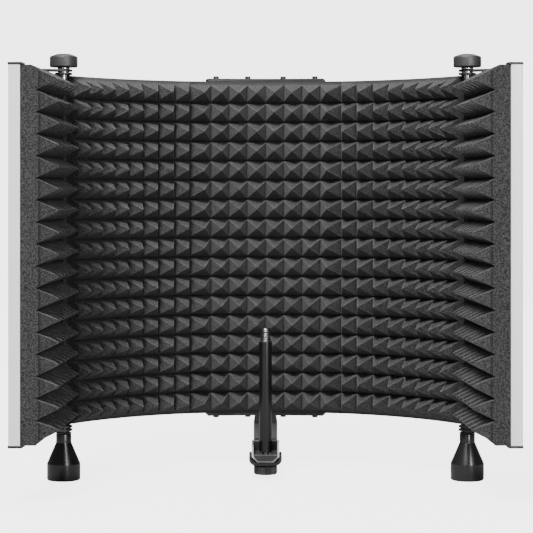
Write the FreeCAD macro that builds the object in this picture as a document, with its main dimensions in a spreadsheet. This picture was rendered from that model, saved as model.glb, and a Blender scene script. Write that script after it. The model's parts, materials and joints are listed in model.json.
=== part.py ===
import FreeCAD, Part
import math
import os

import Sketcher

# Microphone isolation shield. Millimetres, +Z up, front towards -Y, origin on the table under the middle of
# the outline. The right half (+X) is built, the left half is its mirror image.

os.makedirs("parts", exist_ok=True)
doc = FreeCAD.newDocument("isolation_shield")
dims = doc.addObject("Spreadsheet::Sheet", "dims")

SIZES = {
    # panels
    "panel_low": 50.2, "panel_tall": 320, "plate_thick": 1.2, "foam_deep": 34, "foam_base": 14.5,
    "foam_pitch": 18.53, "glue_gap": 0.1, "plate_front": 112.68,
    "mid_radius": 330, "mid_plate_half": 13.8, "mid_foam_half": 13.72,
    "side_radius": 225, "side_start": 20.8, "side_end": 57.47, "side_foam_start": 22.1,
    "side_foam_end": 56.7, "side_near_x": 80.2, "side_near_u": 10.2,
    "wing_near_x": 199.9, "wing_near_u": 110, "wing_splay": 2.6, "wing_plate_long": 135.3,
    "wing_foam_start": 2.5, "wing_foam_end": 136.7,
    # centre brackets and their bars
    "bracket_half": 9.9, "bracket_thick": 2.9, "bracket_inner": 322, "bar_inner": 331.4, "bar_deep": 8,
    "bar_tall": 8, "bracket_gap": 0.1, "screw_shank": 1.5, "screw_head": 2.75, "screw_head_tall": 2.9,
    "screw_long": 7, "screw_near": 17, "screw_far": 47.5,
    # seam strips and rivets
    "strip_wide": 12, "strip_thick": 1.5, "strip_tall": 312, "rivet_radius": 2.6, "rivet_tall": 1.1,
    # hinges
    "axis_x": 184.6, "axis_u": 107, "rod_radius": 3, "rod_low": 18.5, "rod_high": 386.5,
    "ear_thick": 1.8, "ear_radius": 8, "ear_bore": 3.05, "post_wide": 10, "post_deep": 6,
    "side_ear_gap": 0.3, "wing_ear_gap": 3.3, "washer_radius": 5.2, "washer_thick": 1,
    # knobs
    "knob_low": 377.6, "knob_radius": 12.75, "knob_side": 9.6, "knob_crown": 2.8, "knob_edge": 0.8,
    "knob_bore_deep": 9, "collar_radius": 5.6, "collar_thick": 2.1,
    # feet
    "foot_top": 42.3, "foot_neck": 7, "foot_neck_low": 34.5, "foot_radius": 15.2, "foot_wide_top": 15.4,
    "foot_low": 0.3, "foot_edge": 0.9, "pad_radius": 13, "pad_tall": 3.4, "ring_radius": 7,
    "ring_thick": 1.5,
    # end profiles
    "end_front": 137, "end_back": 123, "end_wide": 10.1, "end_wall": 1.5, "end_gap": 0.05,
    "cap_thick": 2.2, "end_tall": 320.2, "cap_lip": 0.5, "cap_reach": 2,
    # rail
    "rail_wide": 21.4, "rail_low": 18.4, "rail_tall": 5.8, "rail_bevel": 4, "rail_front": 118,
    "rail_back": -22, "slot_wide": 6.6, "slot_front": 112, "slot_back": 32,
    # hanger and stand socket
    "hanger_wide": 23, "hanger_neck_wide": 20.1, "hanger_split": 39.2, "hanger_front": 4, "hanger_leg": 3,
    "hanger_back": -21.5, "socket_radius": 13, "socket_bore": 7.5, "socket_deep": 13, "head_seat": 5.4,
    "seat_top": 16.2, "socket_u": -9, "bolt_radius": 3, "bolt_long": 21, "bolt_head": 5.2,
    # microphone carriage
    "carriage_u": 98, "post_radius": 5.9, "post_low": 24.5, "post_high": 126.8, "post_bore_deep": 14,
    "stud_radius": 4.76, "stud_root": 4.6, "stud_high": 138.2, "stud_deep": 12.5,
    "clip_wide": 25.2, "clip_wall": 1.6, "clip_low": 16.4, "clip_high": 34, "clip_long": 24,
    "clip_web_low": 24.6, "clip_web_high": 33.2,
    "clip_bevel": 4.94, "clip_bevel_inner": 4, "saddle_wide": 30, "saddle_inner": 25.5, "saddle_low": 13.3,
    "saddle_high": 22.9, "saddle_floor": 16.3, "saddle_long": 24, "saddle_round": 6, "saddle_bevel": 3,
    "clamp_radius": 10.75, "clamp_low": 4.3, "clamp_high": 12.4, "clamp_stud": 3, "clamp_stud_long": 26,
    "clamp_washer": 7, "clamp_washer_thick": 0.8,
}
for row, (alias, number) in enumerate(SIZES.items(), 1):
    dims.set("A%d" % row, alias)
    dims.set("B%d" % row, str(number))
    dims.setAlias("B%d" % row, alias)
doc.recompute()


class Size:
    """A number and the expression over the sheet that it comes from."""

    def __init__(self, number, text=None):
        self.n = float(number)
        self.text = text if text else repr(float(number))

    def __add__(self, other):
        other = as_size(other)
        return Size(self.n + other.n, "(%s + %s)" % (self.text, other.text))

    def __sub__(self, other):
        other = as_size(other)
        return Size(self.n - other.n, "(%s - %s)" % (self.text, other.text))

    def __mul__(self, other):
        other = as_size(other)
        return Size(self.n * other.n, "(%s * %s)" % (self.text, other.text))

    def __truediv__(self, other):
        other = as_size(other)
        return Size(self.n / other.n, "(%s / %s)" % (self.text, other.text))

    def __neg__(self):
        return Size(-self.n, "(0 - %s)" % self.text)


def as_size(value):
    return value if isinstance(value, Size) else Size(value)


def d(alias):
    return Size(dims.get(alias), "dims." + alias)


def n(alias):
    return float(dims.get(alias))


def polar(radius, angle):
    """The corner at a radius and an angle in degrees, clockwise from +Y."""
    radius, angle = as_size(radius), as_size(angle)
    rad = math.radians(angle.n)
    across = Size(radius.n * math.sin(rad), "%s * sin(%s * 1 deg)" % (radius.text, angle.text))
    along = Size(radius.n * math.cos(rad), "%s * cos(%s * 1 deg)" % (radius.text, angle.text))
    return across, along


def new_body(name):
    body = doc.addObject("PartDesign::Body", name)
    body.Label = name
    return body


def new_sketch(body, plane):
    sketch = body.newObject("Sketcher::SketchObject", body.Name + "_sketch")
    origin = [o for o in body.Origin.OriginFeatures if o.Role == plane][0]
    sketch.AttachmentSupport = [(origin, "")]
    sketch.MapMode = "FlatFace"
    return sketch


def outline(sketch, corners, arcs=None):
    """Closed outline through dimensioned corners; arcs maps an edge number to (radius, centre)."""
    arcs = arcs or {}
    corners = [(as_size(a), as_size(b)) for a, b in corners]
    first = sketch.GeometryCount
    count = len(corners)
    ends = []
    for i in range(count):
        start = FreeCAD.Vector(corners[i][0].n, corners[i][1].n, 0)
        stop = FreeCAD.Vector(corners[(i + 1) % count][0].n, corners[(i + 1) % count][1].n, 0)
        if i not in arcs:
            sketch.addGeometry(Part.LineSegment(start, stop), False)
            ends.append((1, 2))
            continue
        radius, centre = arcs[i]
        middle = FreeCAD.Vector(centre[0], centre[1], 0)
        from_angle = math.atan2(start.y - middle.y, start.x - middle.x)
        to_angle = math.atan2(stop.y - middle.y, stop.x - middle.x)
        turn = (to_angle - from_angle + math.pi) % (2 * math.pi) - math.pi
        circle = Part.Circle(middle, FreeCAD.Vector(0, 0, 1), as_size(radius).n)
        if turn > 0:
            sketch.addGeometry(Part.ArcOfCircle(circle, from_angle, from_angle + turn), False)
            ends.append((1, 2))
        else:
            sketch.addGeometry(Part.ArcOfCircle(circle, to_angle, to_angle - turn), False)
            ends.append((2, 1))
    for i in range(count):
        after = (i + 1) % count
        sketch.addConstraint(
            Sketcher.Constraint("Coincident", first + i, ends[i][1], first + after, ends[after][0])
        )
    for i, (a, b) in enumerate(corners):
        for value, kind, axis in ((a, "DistanceX", -2), (b, "DistanceY", -1)):
            if abs(value.n) < 1e-9:
                sketch.addConstraint(Sketcher.Constraint("PointOnObject", first + i, ends[i][0], axis))
                continue
            index = sketch.addConstraint(
                Sketcher.Constraint(kind, -1, 1, first + i, ends[i][0], value.n)
            )
            sketch.renameConstraint(index, "%s_%d" % (kind[-1].lower(), first + i))
            sketch.setExpression("Constraints.%s_%d" % (kind[-1].lower(), first + i), value.text)
    for i, (radius, _) in arcs.items():
        index = sketch.addConstraint(Sketcher.Constraint("Radius", first + i, as_size(radius).n))
        sketch.renameConstraint(index, "round_%d" % (first + i))
        sketch.setExpression("Constraints.round_%d" % (first + i), as_size(radius).text)


def padded(name, corners, tall, arcs=None, plane="XY_Plane", both=False):
    body = new_body(name)
    sketch = new_sketch(body, plane)
    outline(sketch, corners, arcs)
    pad = body.newObject("PartDesign::Pad", name + "_pad")
    pad.Profile = sketch
    pad.setExpression("Length", as_size(tall).text)
    if both:
        pad.Midplane = True
    sketch.Visibility = False
    return body


def turned(name, corners, arcs=None):
    body = new_body(name)
    sketch = new_sketch(body, "XZ_Plane")
    outline(sketch, corners, arcs)
    turn = body.newObject("PartDesign::Revolution", name + "_turn")
    turn.Profile = sketch
    turn.ReferenceAxis = (sketch, ["V_Axis"])
    turn.Angle = 360
    sketch.Visibility = False
    return body


def sector(name, inner, outer, start, stop, tall):
    """A curved slab between two radii and two angles about the origin."""
    corners = [polar(outer, start), polar(outer, stop), polar(inner, stop), polar(inner, start)]
    return padded(name, corners, tall, {0: (outer, (0, 0)), 2: (inner, (0, 0))})


def cylinder(name, radius, tall, at):
    made = doc.addObject("Part::Cylinder", name)
    made.setExpression("Radius", as_size(radius).text)
    made.setExpression("Height", as_size(tall).text)
    made.Placement = FreeCAD.Placement(FreeCAD.Vector(*at), FreeCAD.Rotation())
    return made


def fused(name, pieces):
    made = doc.addObject("Part::MultiFuse", name)
    made.Shapes = pieces
    made.Refine = True
    made.Label = name
    return made


def cut(name, base, tool):
    made = doc.addObject("Part::Cut", name)
    made.Base = base
    made.Tool = tool
    made.Refine = True
    made.Label = name
    return made


def place(made, x, y, z, turn=0.0):
    made.Placement = FreeCAD.Placement(
        FreeCAD.Vector(x, y, z), FreeCAD.Rotation(FreeCAD.Vector(0, 0, 1), turn)
    )
    return made


parts = []


def keep(made, mirrored=False):
    """Counts a piece in; a mirrored one gets its left twin."""
    parts.append(made)
    if mirrored:
        twin = doc.addObject("Part::Mirroring", made.Name.replace("_right", "_left"))
        twin.Source = made
        twin.Base = (0, 0, 0)
        twin.Normal = (1, 0, 0)
        twin.Label = made.Label.replace("_right", "_left")
        parts.append(twin)
    return made


front = n("plate_front")
low = n("panel_low")
top = low + n("panel_tall")
axis_x = n("axis_x")
axis_y = front - n("axis_u")


def on_middle(angle, out):
    """The point of the middle panel at an angle, out behind its front face."""
    rad = math.radians(angle)
    reach = n("mid_radius") + out
    return reach * math.sin(rad), front - n("mid_radius") + reach * math.cos(rad)


side_centre_x = n("side_near_x") - n("side_radius") * math.sin(math.radians(n("side_start")))
side_centre_y = front - n("side_near_u") - n("side_radius") * math.cos(math.radians(n("side_start")))


def on_side(angle, out):
    """The point of the right side panel at an angle, out behind its front face."""
    rad = math.radians(angle)
    reach = n("side_radius") + out
    return side_centre_x + reach * math.sin(rad), side_centre_y + reach * math.cos(rad)


def on_wing(made, z):
    """Places a piece drawn in the right wing's own plan: x out of its plate, -y along it."""
    return place(made, n("wing_near_x"), front - n("wing_near_u"), z, n("wing_splay"))


# ---- panels: steel plates and foam slabs ---------------------------------------------------------
plate = sector(
    "back_plate_center", d("mid_radius"), d("mid_radius") + d("plate_thick"),
    -d("mid_plate_half"), d("mid_plate_half"), d("panel_tall"),
)
keep(place(plate, 0, front - n("mid_radius"), low))

foam = sector(
    "foam_center", d("mid_radius") - d("foam_deep"), d("mid_radius") - d("glue_gap"),
    -d("mid_foam_half"), d("mid_foam_half"), d("panel_tall"),
)
keep(place(foam, 0, front - n("mid_radius"), low))

plate = sector(
    "back_plate_side_right", d("side_radius"), d("side_radius") + d("plate_thick"),
    d("side_start"), d("side_end"), d("panel_tall"),
)
keep(place(plate, side_centre_x, side_centre_y, low), mirrored=True)

# the end column of pyramids falls away towards the hinge, so the slab is bevelled there
side_outer = d("side_radius") - d("glue_gap")
side_inner = d("side_radius") - d("foam_deep")
side_bevel = (d("foam_pitch") / 2) / side_inner * Size(180 / math.pi)
foam = padded(
    "foam_side_right",
    [
        polar(side_outer, d("side_foam_start")),
        polar(side_outer, d("side_foam_end")),
        polar(d("side_radius") - d("foam_base"), d("side_foam_end")),
        polar(side_inner, d("side_foam_end") - side_bevel),
        polar(side_inner, d("side_foam_start")),
    ],
    d("panel_tall"),
    {0: (side_outer, (0, 0)), 3: (side_inner, (0, 0))},
)
keep(place(foam, side_centre_x, side_centre_y, low), mirrored=True)

plate = padded(
    "back_plate_wing_right",
    [(0, 0), (d("plate_thick"), 0), (d("plate_thick"), -d("wing_plate_long")), (0, -d("wing_plate_long"))],
    d("panel_tall"),
)
keep(on_wing(plate, low), mirrored=True)

half = d("foam_pitch") / 2
foam = padded(
    "foam_wing_right",
    [
        (-d("glue_gap"), -d("wing_foam_start")),
        (-d("foam_base"), -d("wing_foam_start")),
        (-d("foam_deep"), -(d("wing_foam_start") + half)),
        (-d("foam_deep"), -(d("wing_foam_end") - half)),
        (-d("foam_base"), -d("wing_foam_end")),
        (-d("glue_gap"), -d("wing_foam_end")),
    ],
    d("panel_tall"),
)
keep(on_wing(foam, low), mirrored=True)

# ---- middle: bars behind the plate, brackets over its edges, screws --------------------------------
SCREW_ANGLES = [
    side * math.degrees(n(alias) / n("mid_radius"))
    for alias in ("screw_near", "screw_far")
    for side in (-1, 1)
]
screw_out = n("bar_inner") - n("mid_radius") + n("bar_deep") / 2


def drilled(name, base, radius, low_z, tall):
    """The piece with the four bracket screw holes through it."""
    drills = []
    for i, angle in enumerate(SCREW_ANGLES):
        x, y = on_middle(angle, screw_out)
        drills.append(cylinder("%s_drill_%d" % (name, i), radius, tall, (x, y, low_z)))
    return cut(name, base, fused(name + "_drills", drills))


screws = []
gap = n("bracket_gap")
for word, bar_z, bracket_z, screw_z, head_z in (
    ("top", top - n("bar_tall"), top + gap, top + gap + n("bracket_thick") - n("screw_long"),
     top + gap + n("bracket_thick")),
    ("bottom", low, low - gap - n("bracket_thick"), low - gap - n("bracket_thick"),
     low - gap - n("bracket_thick") - n("screw_head_tall")),
):
    bar = sector(
        word + "_bar_blank", d("bar_inner"), d("bar_inner") + d("bar_deep"),
        -d("bracket_half"), d("bracket_half"), d("bar_tall"),
    )
    place(bar, 0, front - n("mid_radius"), bar_z)
    keep(drilled(word + "_bar", bar, d("screw_shank") + 0.02, bar_z - 1, d("bar_tall") + 2))
    bracket = sector(
        word + "_bracket_blank", d("bracket_inner"), d("bar_inner") + d("bar_deep"),
        -d("bracket_half"), d("bracket_half"), d("bracket_thick"),
    )
    place(bracket, 0, front - n("mid_radius"), bracket_z)
    keep(drilled(word + "_bracket", bracket, d("screw_shank") + 0.1, bracket_z - 1, d("bracket_thick") + 2))
    for i, angle in enumerate(SCREW_ANGLES):
        x, y = on_middle(angle, screw_out)
        shank = cylinder("%s_shank_%d" % (word, i), d("screw_shank"), d("screw_long"), (x, y, screw_z))
        head = cylinder("%s_head_%d" % (word, i), d("screw_head"), d("screw_head_tall"), (x, y, head_z))
        screws.append(fused("%s_screw_%d" % (word, i), [shank, head]))
bracket_screws = doc.addObject("Part::Compound", "bracket_screws")
bracket_screws.Label = "bracket_screws"
bracket_screws.Links = screws
keep(bracket_screws)

# ---- seams: bent strips with rivets behind the joints between middle and side plates ---------------
strip_turn_mid = math.degrees(n("strip_wide") / n("mid_radius"))
strip_turn_side = math.degrees(n("strip_wide") / n("side_radius"))
near_out = n("plate_thick") + 0.3
far_out = near_out + n("strip_thick")


def at_seam(out):
    """The point between the two plates' meeting edges, out behind their front faces."""
    pair = zip(on_middle(n("mid_plate_half"), out), on_side(n("side_start"), out))
    return [(a + b) / 2 for a, b in pair]


seam_in = at_seam(near_out)
seam_out = at_seam(far_out)
strip = padded(
    "seam_strip_right",
    [
        on_middle(n("mid_plate_half") - strip_turn_mid, near_out),
        seam_in,
        on_side(n("side_start") + strip_turn_side, near_out),
        on_side(n("side_start") + strip_turn_side, far_out),
        seam_out,
        on_middle(n("mid_plate_half") - strip_turn_mid, far_out),
    ],
    d("strip_tall"),
)
keep(place(strip, 0, 0, low + (n("panel_tall") - n("strip_tall")) / 2), mirrored=True)


def rivet(name, foot_point, outward, z):
    """A domed rivet head standing on a plate, its axis along the outward direction."""
    head = doc.addObject("Part::Cone", name)
    head.setExpression("Radius1", "dims.rivet_radius")
    head.setExpression("Radius2", "dims.rivet_radius * 0.6")
    head.setExpression("Height", "dims.rivet_tall")
    way = FreeCAD.Vector(outward[0], outward[1], 0)
    head.Placement = FreeCAD.Placement(
        FreeCAD.Vector(foot_point[0], foot_point[1], z), FreeCAD.Rotation(FreeCAD.Vector(0, 0, 1), way)
    )
    return head


RIVET_HEIGHTS = [low + n("panel_tall") * part for part in (0.08, 0.36, 0.64, 0.92)]
rivets = []
for i, z in enumerate(RIVET_HEIGHTS):
    for word, start, stop in (
        ("mid", on_middle(n("mid_plate_half") - strip_turn_mid, far_out), seam_out),
        ("side", seam_out, on_side(n("side_start") + strip_turn_side, far_out)),
    ):
        middle = [(a + b) / 2 for a, b in zip(start, stop)]
        along = (stop[0] - start[0], stop[1] - start[1])
        rivets.append(rivet("seam_rivet_%s_%d" % (word, i), middle, (-along[1], along[0]), z))
seam_rivets = doc.addObject("Part::Compound", "seam_rivets_right")
seam_rivets.Label = "seam_rivets_right"
seam_rivets.Links = rivets
keep(seam_rivets, mirrored=True)

# ---- hinge brackets: a post behind each plate end with an ear over and under it ------------------------
def hinge_bracket(name, axis_at, post_from, post_out, ear_gap):
    """A post and two ears in plan; axis_at and post_from are (x, y), the post reaches out along +y or +x."""
    (post_x, post_y), (wide, deep) = post_from, post_out
    post_tall = d("panel_tall") + 2 * ear_gap
    post = doc.addObject("Part::Box", name + "_post")
    post.Length = wide
    post.Width = deep
    post.setExpression("Height", post_tall.text)
    post.Placement.Base = FreeCAD.Vector(post_x, post_y, -ear_gap)
    centre = (post_x + wide / 2, post_y + deep / 2)
    along = (centre[0] - axis_at[0], centre[1] - axis_at[1])
    reach = math.hypot(*along)
    square = (-along[1] / reach * n("ear_radius"), along[0] / reach * n("ear_radius"))
    corners = [
        (post_x, post_y), (post_x + wide, post_y), (post_x + wide, post_y + deep), (post_x, post_y + deep),
    ]
    side_of = [(c[0] - axis_at[0]) * square[0] + (c[1] - axis_at[1]) * square[1] for c in corners]
    ahead = [(c[0] - axis_at[0]) * along[0] + (c[1] - axis_at[1]) * along[1] for c in corners]
    far = corners[ahead.index(max(ahead))]
    high = corners[side_of.index(max(side_of))]
    under = corners[side_of.index(min(side_of))]
    pieces = [post]
    for word, z in (("top", n("panel_tall") + ear_gap), ("bottom", -ear_gap - n("ear_thick"))):
        base = FreeCAD.Vector(0, 0, z)
        points = [
            (axis_at[0] + square[0], axis_at[1] + square[1]), high, far, under,
            (axis_at[0] - square[0], axis_at[1] - square[1]),
        ]
        ear = padded("%s_%s_web" % (name, word), points, d("ear_thick"))
        ear.Placement.Base = base
        boss = cylinder(
            "%s_%s_boss" % (name, word), d("ear_radius"), d("ear_thick"), (axis_at[0], axis_at[1], z)
        )
        pieces.extend([ear, boss])
    blank = fused(name + "_blank", pieces)
    bore = cylinder(
        name + "_bore", d("ear_bore"), d("panel_tall") + 40, (axis_at[0], axis_at[1], -20)
    )
    return cut(name, blank, bore)


post_angle = n("side_end") - math.degrees((n("post_wide") / 2 + 2.5) / n("side_radius"))
post_point = on_side(post_angle, 0)
rad = math.radians(post_angle)
away = (axis_x - post_point[0], axis_y - post_point[1])
axis_side = (
    away[0] * math.cos(rad) - away[1] * math.sin(rad),
    away[0] * math.sin(rad) + away[1] * math.cos(rad),
)
bracket = hinge_bracket(
    "side_hinge_bracket_right", axis_side, (-n("post_wide") / 2, n("plate_thick") + 0.15),
    (n("post_wide"), n("post_deep")), n("side_ear_gap"),
)
keep(place(bracket, post_point[0], post_point[1], low, -post_angle), mirrored=True)

splay = math.radians(n("wing_splay"))
away = (axis_x - n("wing_near_x"), axis_y - (front - n("wing_near_u")))
axis_wing = (
    away[0] * math.cos(splay) + away[1] * math.sin(splay),
    -away[0] * math.sin(splay) + away[1] * math.cos(splay),
)
bracket = hinge_bracket(
    "wing_hinge_bracket_right", axis_wing, (n("plate_thick") + 0.1, -1 - n("post_wide")),
    (n("post_deep"), n("post_wide")), n("wing_ear_gap"),
)
keep(on_wing(bracket, low), mirrored=True)

wing_rivets = []
for i, z in enumerate(RIVET_HEIGHTS):
    foot_point = (n("plate_thick") + 0.1 + n("post_deep"), -1 - n("post_wide") / 2)
    wing_rivets.append(rivet("wing_rivet_%d" % i, foot_point, (1, 0), z - low))
compound = doc.addObject("Part::Compound", "wing_rivets_right")
compound.Label = "wing_rivets_right"
compound.Links = wing_rivets
keep(on_wing(compound, low), mirrored=True)

# ---- hinge rods, washers, knobs, feet ---------------------------------------------------------------
rod = cylinder(
    "hinge_rod_right", d("rod_radius"), d("rod_high") - d("rod_low"), (axis_x, axis_y, n("rod_low"))
)
rod.Label = "hinge_rod_right"
keep(rod, mirrored=True)

washer_levels = [
    top + n("side_ear_gap") + n("ear_thick") + 0.1,
    low - n("side_ear_gap") - n("ear_thick") - 0.1 - n("washer_thick"),
    low - n("wing_ear_gap") - n("ear_thick") - 0.1 - n("washer_thick"),
]
washers = []
for i, z in enumerate(washer_levels):
    disc = cylinder("washer_disc_%d" % i, d("washer_radius"), d("washer_thick"), (axis_x, axis_y, z))
    eye = cylinder("washer_eye_%d" % i, d("ear_bore"), d("washer_thick") + 2, (axis_x, axis_y, z - 1))
    washers.append(cut("washer_%d" % i, disc, eye))
compound = doc.addObject("Part::Compound", "hinge_washers_right")
compound.Label = "hinge_washers_right"
compound.Links = washers
keep(compound, mirrored=True)

crown = (n("knob_radius") ** 2 + n("knob_crown") ** 2) / (2 * n("knob_crown"))
crown_size = (d("knob_radius") * d("knob_radius") + d("knob_crown") * d("knob_crown")) / (d("knob_crown") * 2)
knob_top = d("knob_side") + d("knob_crown")
knob = turned(
    "knob_right",
    [
        (0, d("knob_bore_deep")),
        (d("ear_bore"), d("knob_bore_deep")),
        (d("ear_bore"), 0),
        (d("knob_radius") - d("knob_edge"), 0),
        (d("knob_radius"), d("knob_edge")),
        (d("knob_radius"), d("knob_side")),
        (0, knob_top),
    ],
    {5: (crown_size, (0, knob_top.n - crown))},
)
keep(place(knob, axis_x, axis_y, n("knob_low")), mirrored=True)

collar = turned(
    "knob_collar_right",
    [
        (d("ear_bore"), 0),
        (d("collar_radius"), 0),
        (d("collar_radius"), d("collar_thick") * 0.6),
        (d("collar_radius") - 0.8, d("collar_thick")),
        (d("ear_bore"), d("collar_thick")),
    ],
)
keep(place(collar, axis_x, axis_y, n("knob_low") - n("collar_thick") - 0.05), mirrored=True)

rod_room = d("rod_low") - 0.5
foot = turned(
    "foot_right",
    [
        (0, rod_room),
        (d("ear_bore"), rod_room),
        (d("ear_bore"), d("foot_top")),
        (d("foot_neck"), d("foot_top")),
        (d("foot_neck"), d("foot_neck_low")),
        (d("foot_radius"), d("foot_wide_top")),
        (d("foot_radius"), d("foot_low") + d("foot_edge")),
        (d("foot_radius") - d("foot_edge"), d("foot_low")),
        (d("pad_radius") + 0.05, d("foot_low")),
        (d("pad_radius") + 0.05, d("pad_tall") + 0.05),
        (0, d("pad_tall") + 0.05),
    ],
)
keep(place(foot, axis_x, axis_y, 0), mirrored=True)

pad = turned(
    "foot_pad_right",
    [
        (0, 0), (d("pad_radius") - 0.8, 0), (d("pad_radius"), 0.8), (d("pad_radius"), d("pad_tall")),
        (0, d("pad_tall")),
    ],
)
keep(place(pad, axis_x, axis_y, 0), mirrored=True)

ring = turned(
    "lock_ring_right",
    [
        (d("ear_bore"), 0),
        (d("ring_radius") - 0.6, 0),
        (d("ring_radius"), 0.6),
        (d("ring_radius"), d("ring_thick")),
        (d("ear_bore"), d("ring_thick")),
    ],
)
keep(place(ring, axis_x, axis_y, n("foot_top") + 0.1), mirrored=True)

# ---- end profiles and their caps ----------------------------------------------------------------------
inner_face = d("plate_thick") + d("end_gap")
web_back = -(d("end_front") - d("end_wall"))
profile = padded(
    "end_profile_right",
    [
        (0, web_back), (0, -d("end_front")),
        (d("end_wide"), -d("end_front")), (d("end_wide"), -d("end_back")),
        (d("end_wide") - d("end_wall"), -d("end_back")), (d("end_wide") - d("end_wall"), web_back),
        (inner_face + d("end_wall"), web_back), (inner_face + d("end_wall"), -d("end_back")),
        (inner_face, -d("end_back")), (inner_face, web_back),
    ],
    d("end_tall"),
)
keep(on_wing(profile, low + (n("panel_tall") - n("end_tall")) / 2), mirrored=True)

for word, z in (
    ("top", low + (n("panel_tall") + n("end_tall")) / 2 + 0.05),
    ("bottom", low + (n("panel_tall") - n("end_tall")) / 2 - 0.05 - n("cap_thick")),
):
    cap = padded(
        "end_cap_%s_right" % word,
        [
            (-d("cap_reach"), -(d("end_front") + d("cap_lip"))),
            (d("end_wide") + d("cap_lip"), -(d("end_front") + d("cap_lip"))),
            (d("end_wide") + d("cap_lip"), -(d("end_back") - d("cap_lip"))),
            (-d("cap_reach"), -(d("end_back") - d("cap_lip"))),
        ],
        d("cap_thick"),
    )
    keep(on_wing(cap, z), mirrored=True)

# ---- rail under the middle: a flat bar with bevelled lower edges and a long slot -----------------------
def bar_across(name, corners, back, front_end, z):
    """A piece drawn in front view and running from one depth in front of the middle plate to another."""
    made = padded(name, corners, front_end - back, plane="XZ_Plane", both=True)
    return place(made, 0, front - (front_end.n + back.n) / 2, z)


wide = d("rail_wide") / 2
bevel = d("rail_bevel")
rail_blank = bar_across(
    "rail_blank",
    [
        (-wide, bevel), (-(wide - bevel), 0), (wide - bevel, 0), (wide, bevel),
        (wide, d("rail_tall")), (-wide, d("rail_tall")),
    ],
    d("rail_back"), d("rail_front"), n("rail_low"),
)
slot = doc.addObject("Part::Box", "rail_slot")
slot.setExpression("Length", "dims.slot_wide")
slot.setExpression("Width", "dims.slot_front - dims.slot_back")
slot.setExpression("Height", "dims.rail_tall + 4")
slot.Placement.Base = FreeCAD.Vector(-n("slot_wide") / 2, front - n("slot_front"), n("rail_low") - 2)
socket_y = front - n("socket_u")
bolt_hole = cylinder(
    "rail_bolt_hole", d("bolt_radius") + 0.1, d("rail_tall") + 4, (0, socket_y, n("rail_low") - 2)
)
keep(cut("rail", rail_blank, fused("rail_cuts", [slot, bolt_hole])))

# ---- hanger: a block on the rail, its tapered neck and the stand socket below --------------------------
block_low = d("rail_low") + d("rail_tall") + 0.05
block_tall = d("hanger_split") - block_low
block_half = d("hanger_wide") / 2
block_leg = d("hanger_leg")
block_groove = d("rail_wide") / 2 + 0.05
neck_half = d("hanger_neck_wide") / 2
hanger_blank = bar_across(
    "hanger_blank",
    [
        (-block_half, -block_leg), (-block_groove, -block_leg), (-block_groove, 0),
        (block_groove, 0), (block_groove, -block_leg), (block_half, -block_leg),
        (block_half, block_tall), (-block_half, block_tall),
    ],
    d("hanger_back"), d("hanger_front"), block_low.n,
)
bolt_seat = cylinder("hanger_bolt_seat", d("bolt_radius") + 0.02, 13, (0, socket_y, block_low.n - 1))
keep(cut("hanger_block", hanger_blank, bolt_seat))

neck_low = n("hanger_split") + 0.05
neck_tall = low - n("bracket_gap") - n("bracket_thick") - 0.05 - neck_low
keep(
    bar_across(
        "hanger_neck",
        [(-block_half, 0), (block_half, 0), (neck_half, neck_tall), (-neck_half, neck_tall)],
        d("hanger_back"), d("hanger_front"), neck_low,
    )
)

socket_top = d("rail_low") - 0.05
bolt_way = d("bolt_radius") + 0.1
socket = turned(
    "stand_socket",
    [
        (d("socket_bore"), 0), (d("socket_radius") - 1, 0), (d("socket_radius"), 1),
        (d("socket_radius"), socket_top - 1), (d("socket_radius") - 1, socket_top), (bolt_way, socket_top),
        (bolt_way, d("seat_top")), (d("head_seat"), d("seat_top")), (d("head_seat"), d("socket_deep")),
        (d("socket_bore"), d("socket_deep")),
    ],
)
keep(place(socket, 0, socket_y, 0))

shank = cylinder("hanger_bolt_shank", d("bolt_radius"), d("bolt_long"), (0, socket_y, n("seat_top") - 3))
head = cylinder("hanger_bolt_head", d("bolt_head"), 3, (0, socket_y, n("seat_top") - 3.05))
keep(fused("hanger_bolt", [shank, head]))

# ---- microphone carriage: post and thread, folded clip over the rail, saddle and clamp -----------------
carriage_y = front - n("carriage_u")
stud_way = d("clamp_stud") + 0.1
stud_floor = d("post_high") - d("stud_deep")
bore_top = d("post_low") + d("post_bore_deep")
post = turned(
    "mic_post",
    [
        (d("clamp_stud") + 0.02, d("post_low")), (d("post_radius") - 0.6, d("post_low")),
        (d("post_radius"), d("post_low") + 0.6), (d("post_radius"), d("post_high") - 0.8),
        (d("post_radius") - 0.8, d("post_high")), (d("stud_root") + 0.02, d("post_high")),
        (d("stud_root") + 0.02, stud_floor), (0, stud_floor), (0, bore_top),
        (d("clamp_stud") + 0.02, bore_top),
    ],
)
keep(place(post, 0, carriage_y, 0))

stud = turned(
    "mic_stud",
    [
        (0, stud_floor + 0.05), (d("stud_root"), stud_floor + 0.05), (d("stud_root"), d("post_high") + 0.05),
        (d("stud_radius"), d("post_high") + 0.05), (d("stud_radius"), d("stud_high") - 0.9),
        (d("stud_radius") - 0.9, d("stud_high")), (0, d("stud_high")),
    ],
)
keep(place(stud, 0, carriage_y, 0))


def through(name, base, tall, z):
    """The piece with the clamp stud's hole through its floor."""
    return cut(name, base, cylinder(name + "_hole", stud_way, tall, (0, carriage_y, z)))


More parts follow.
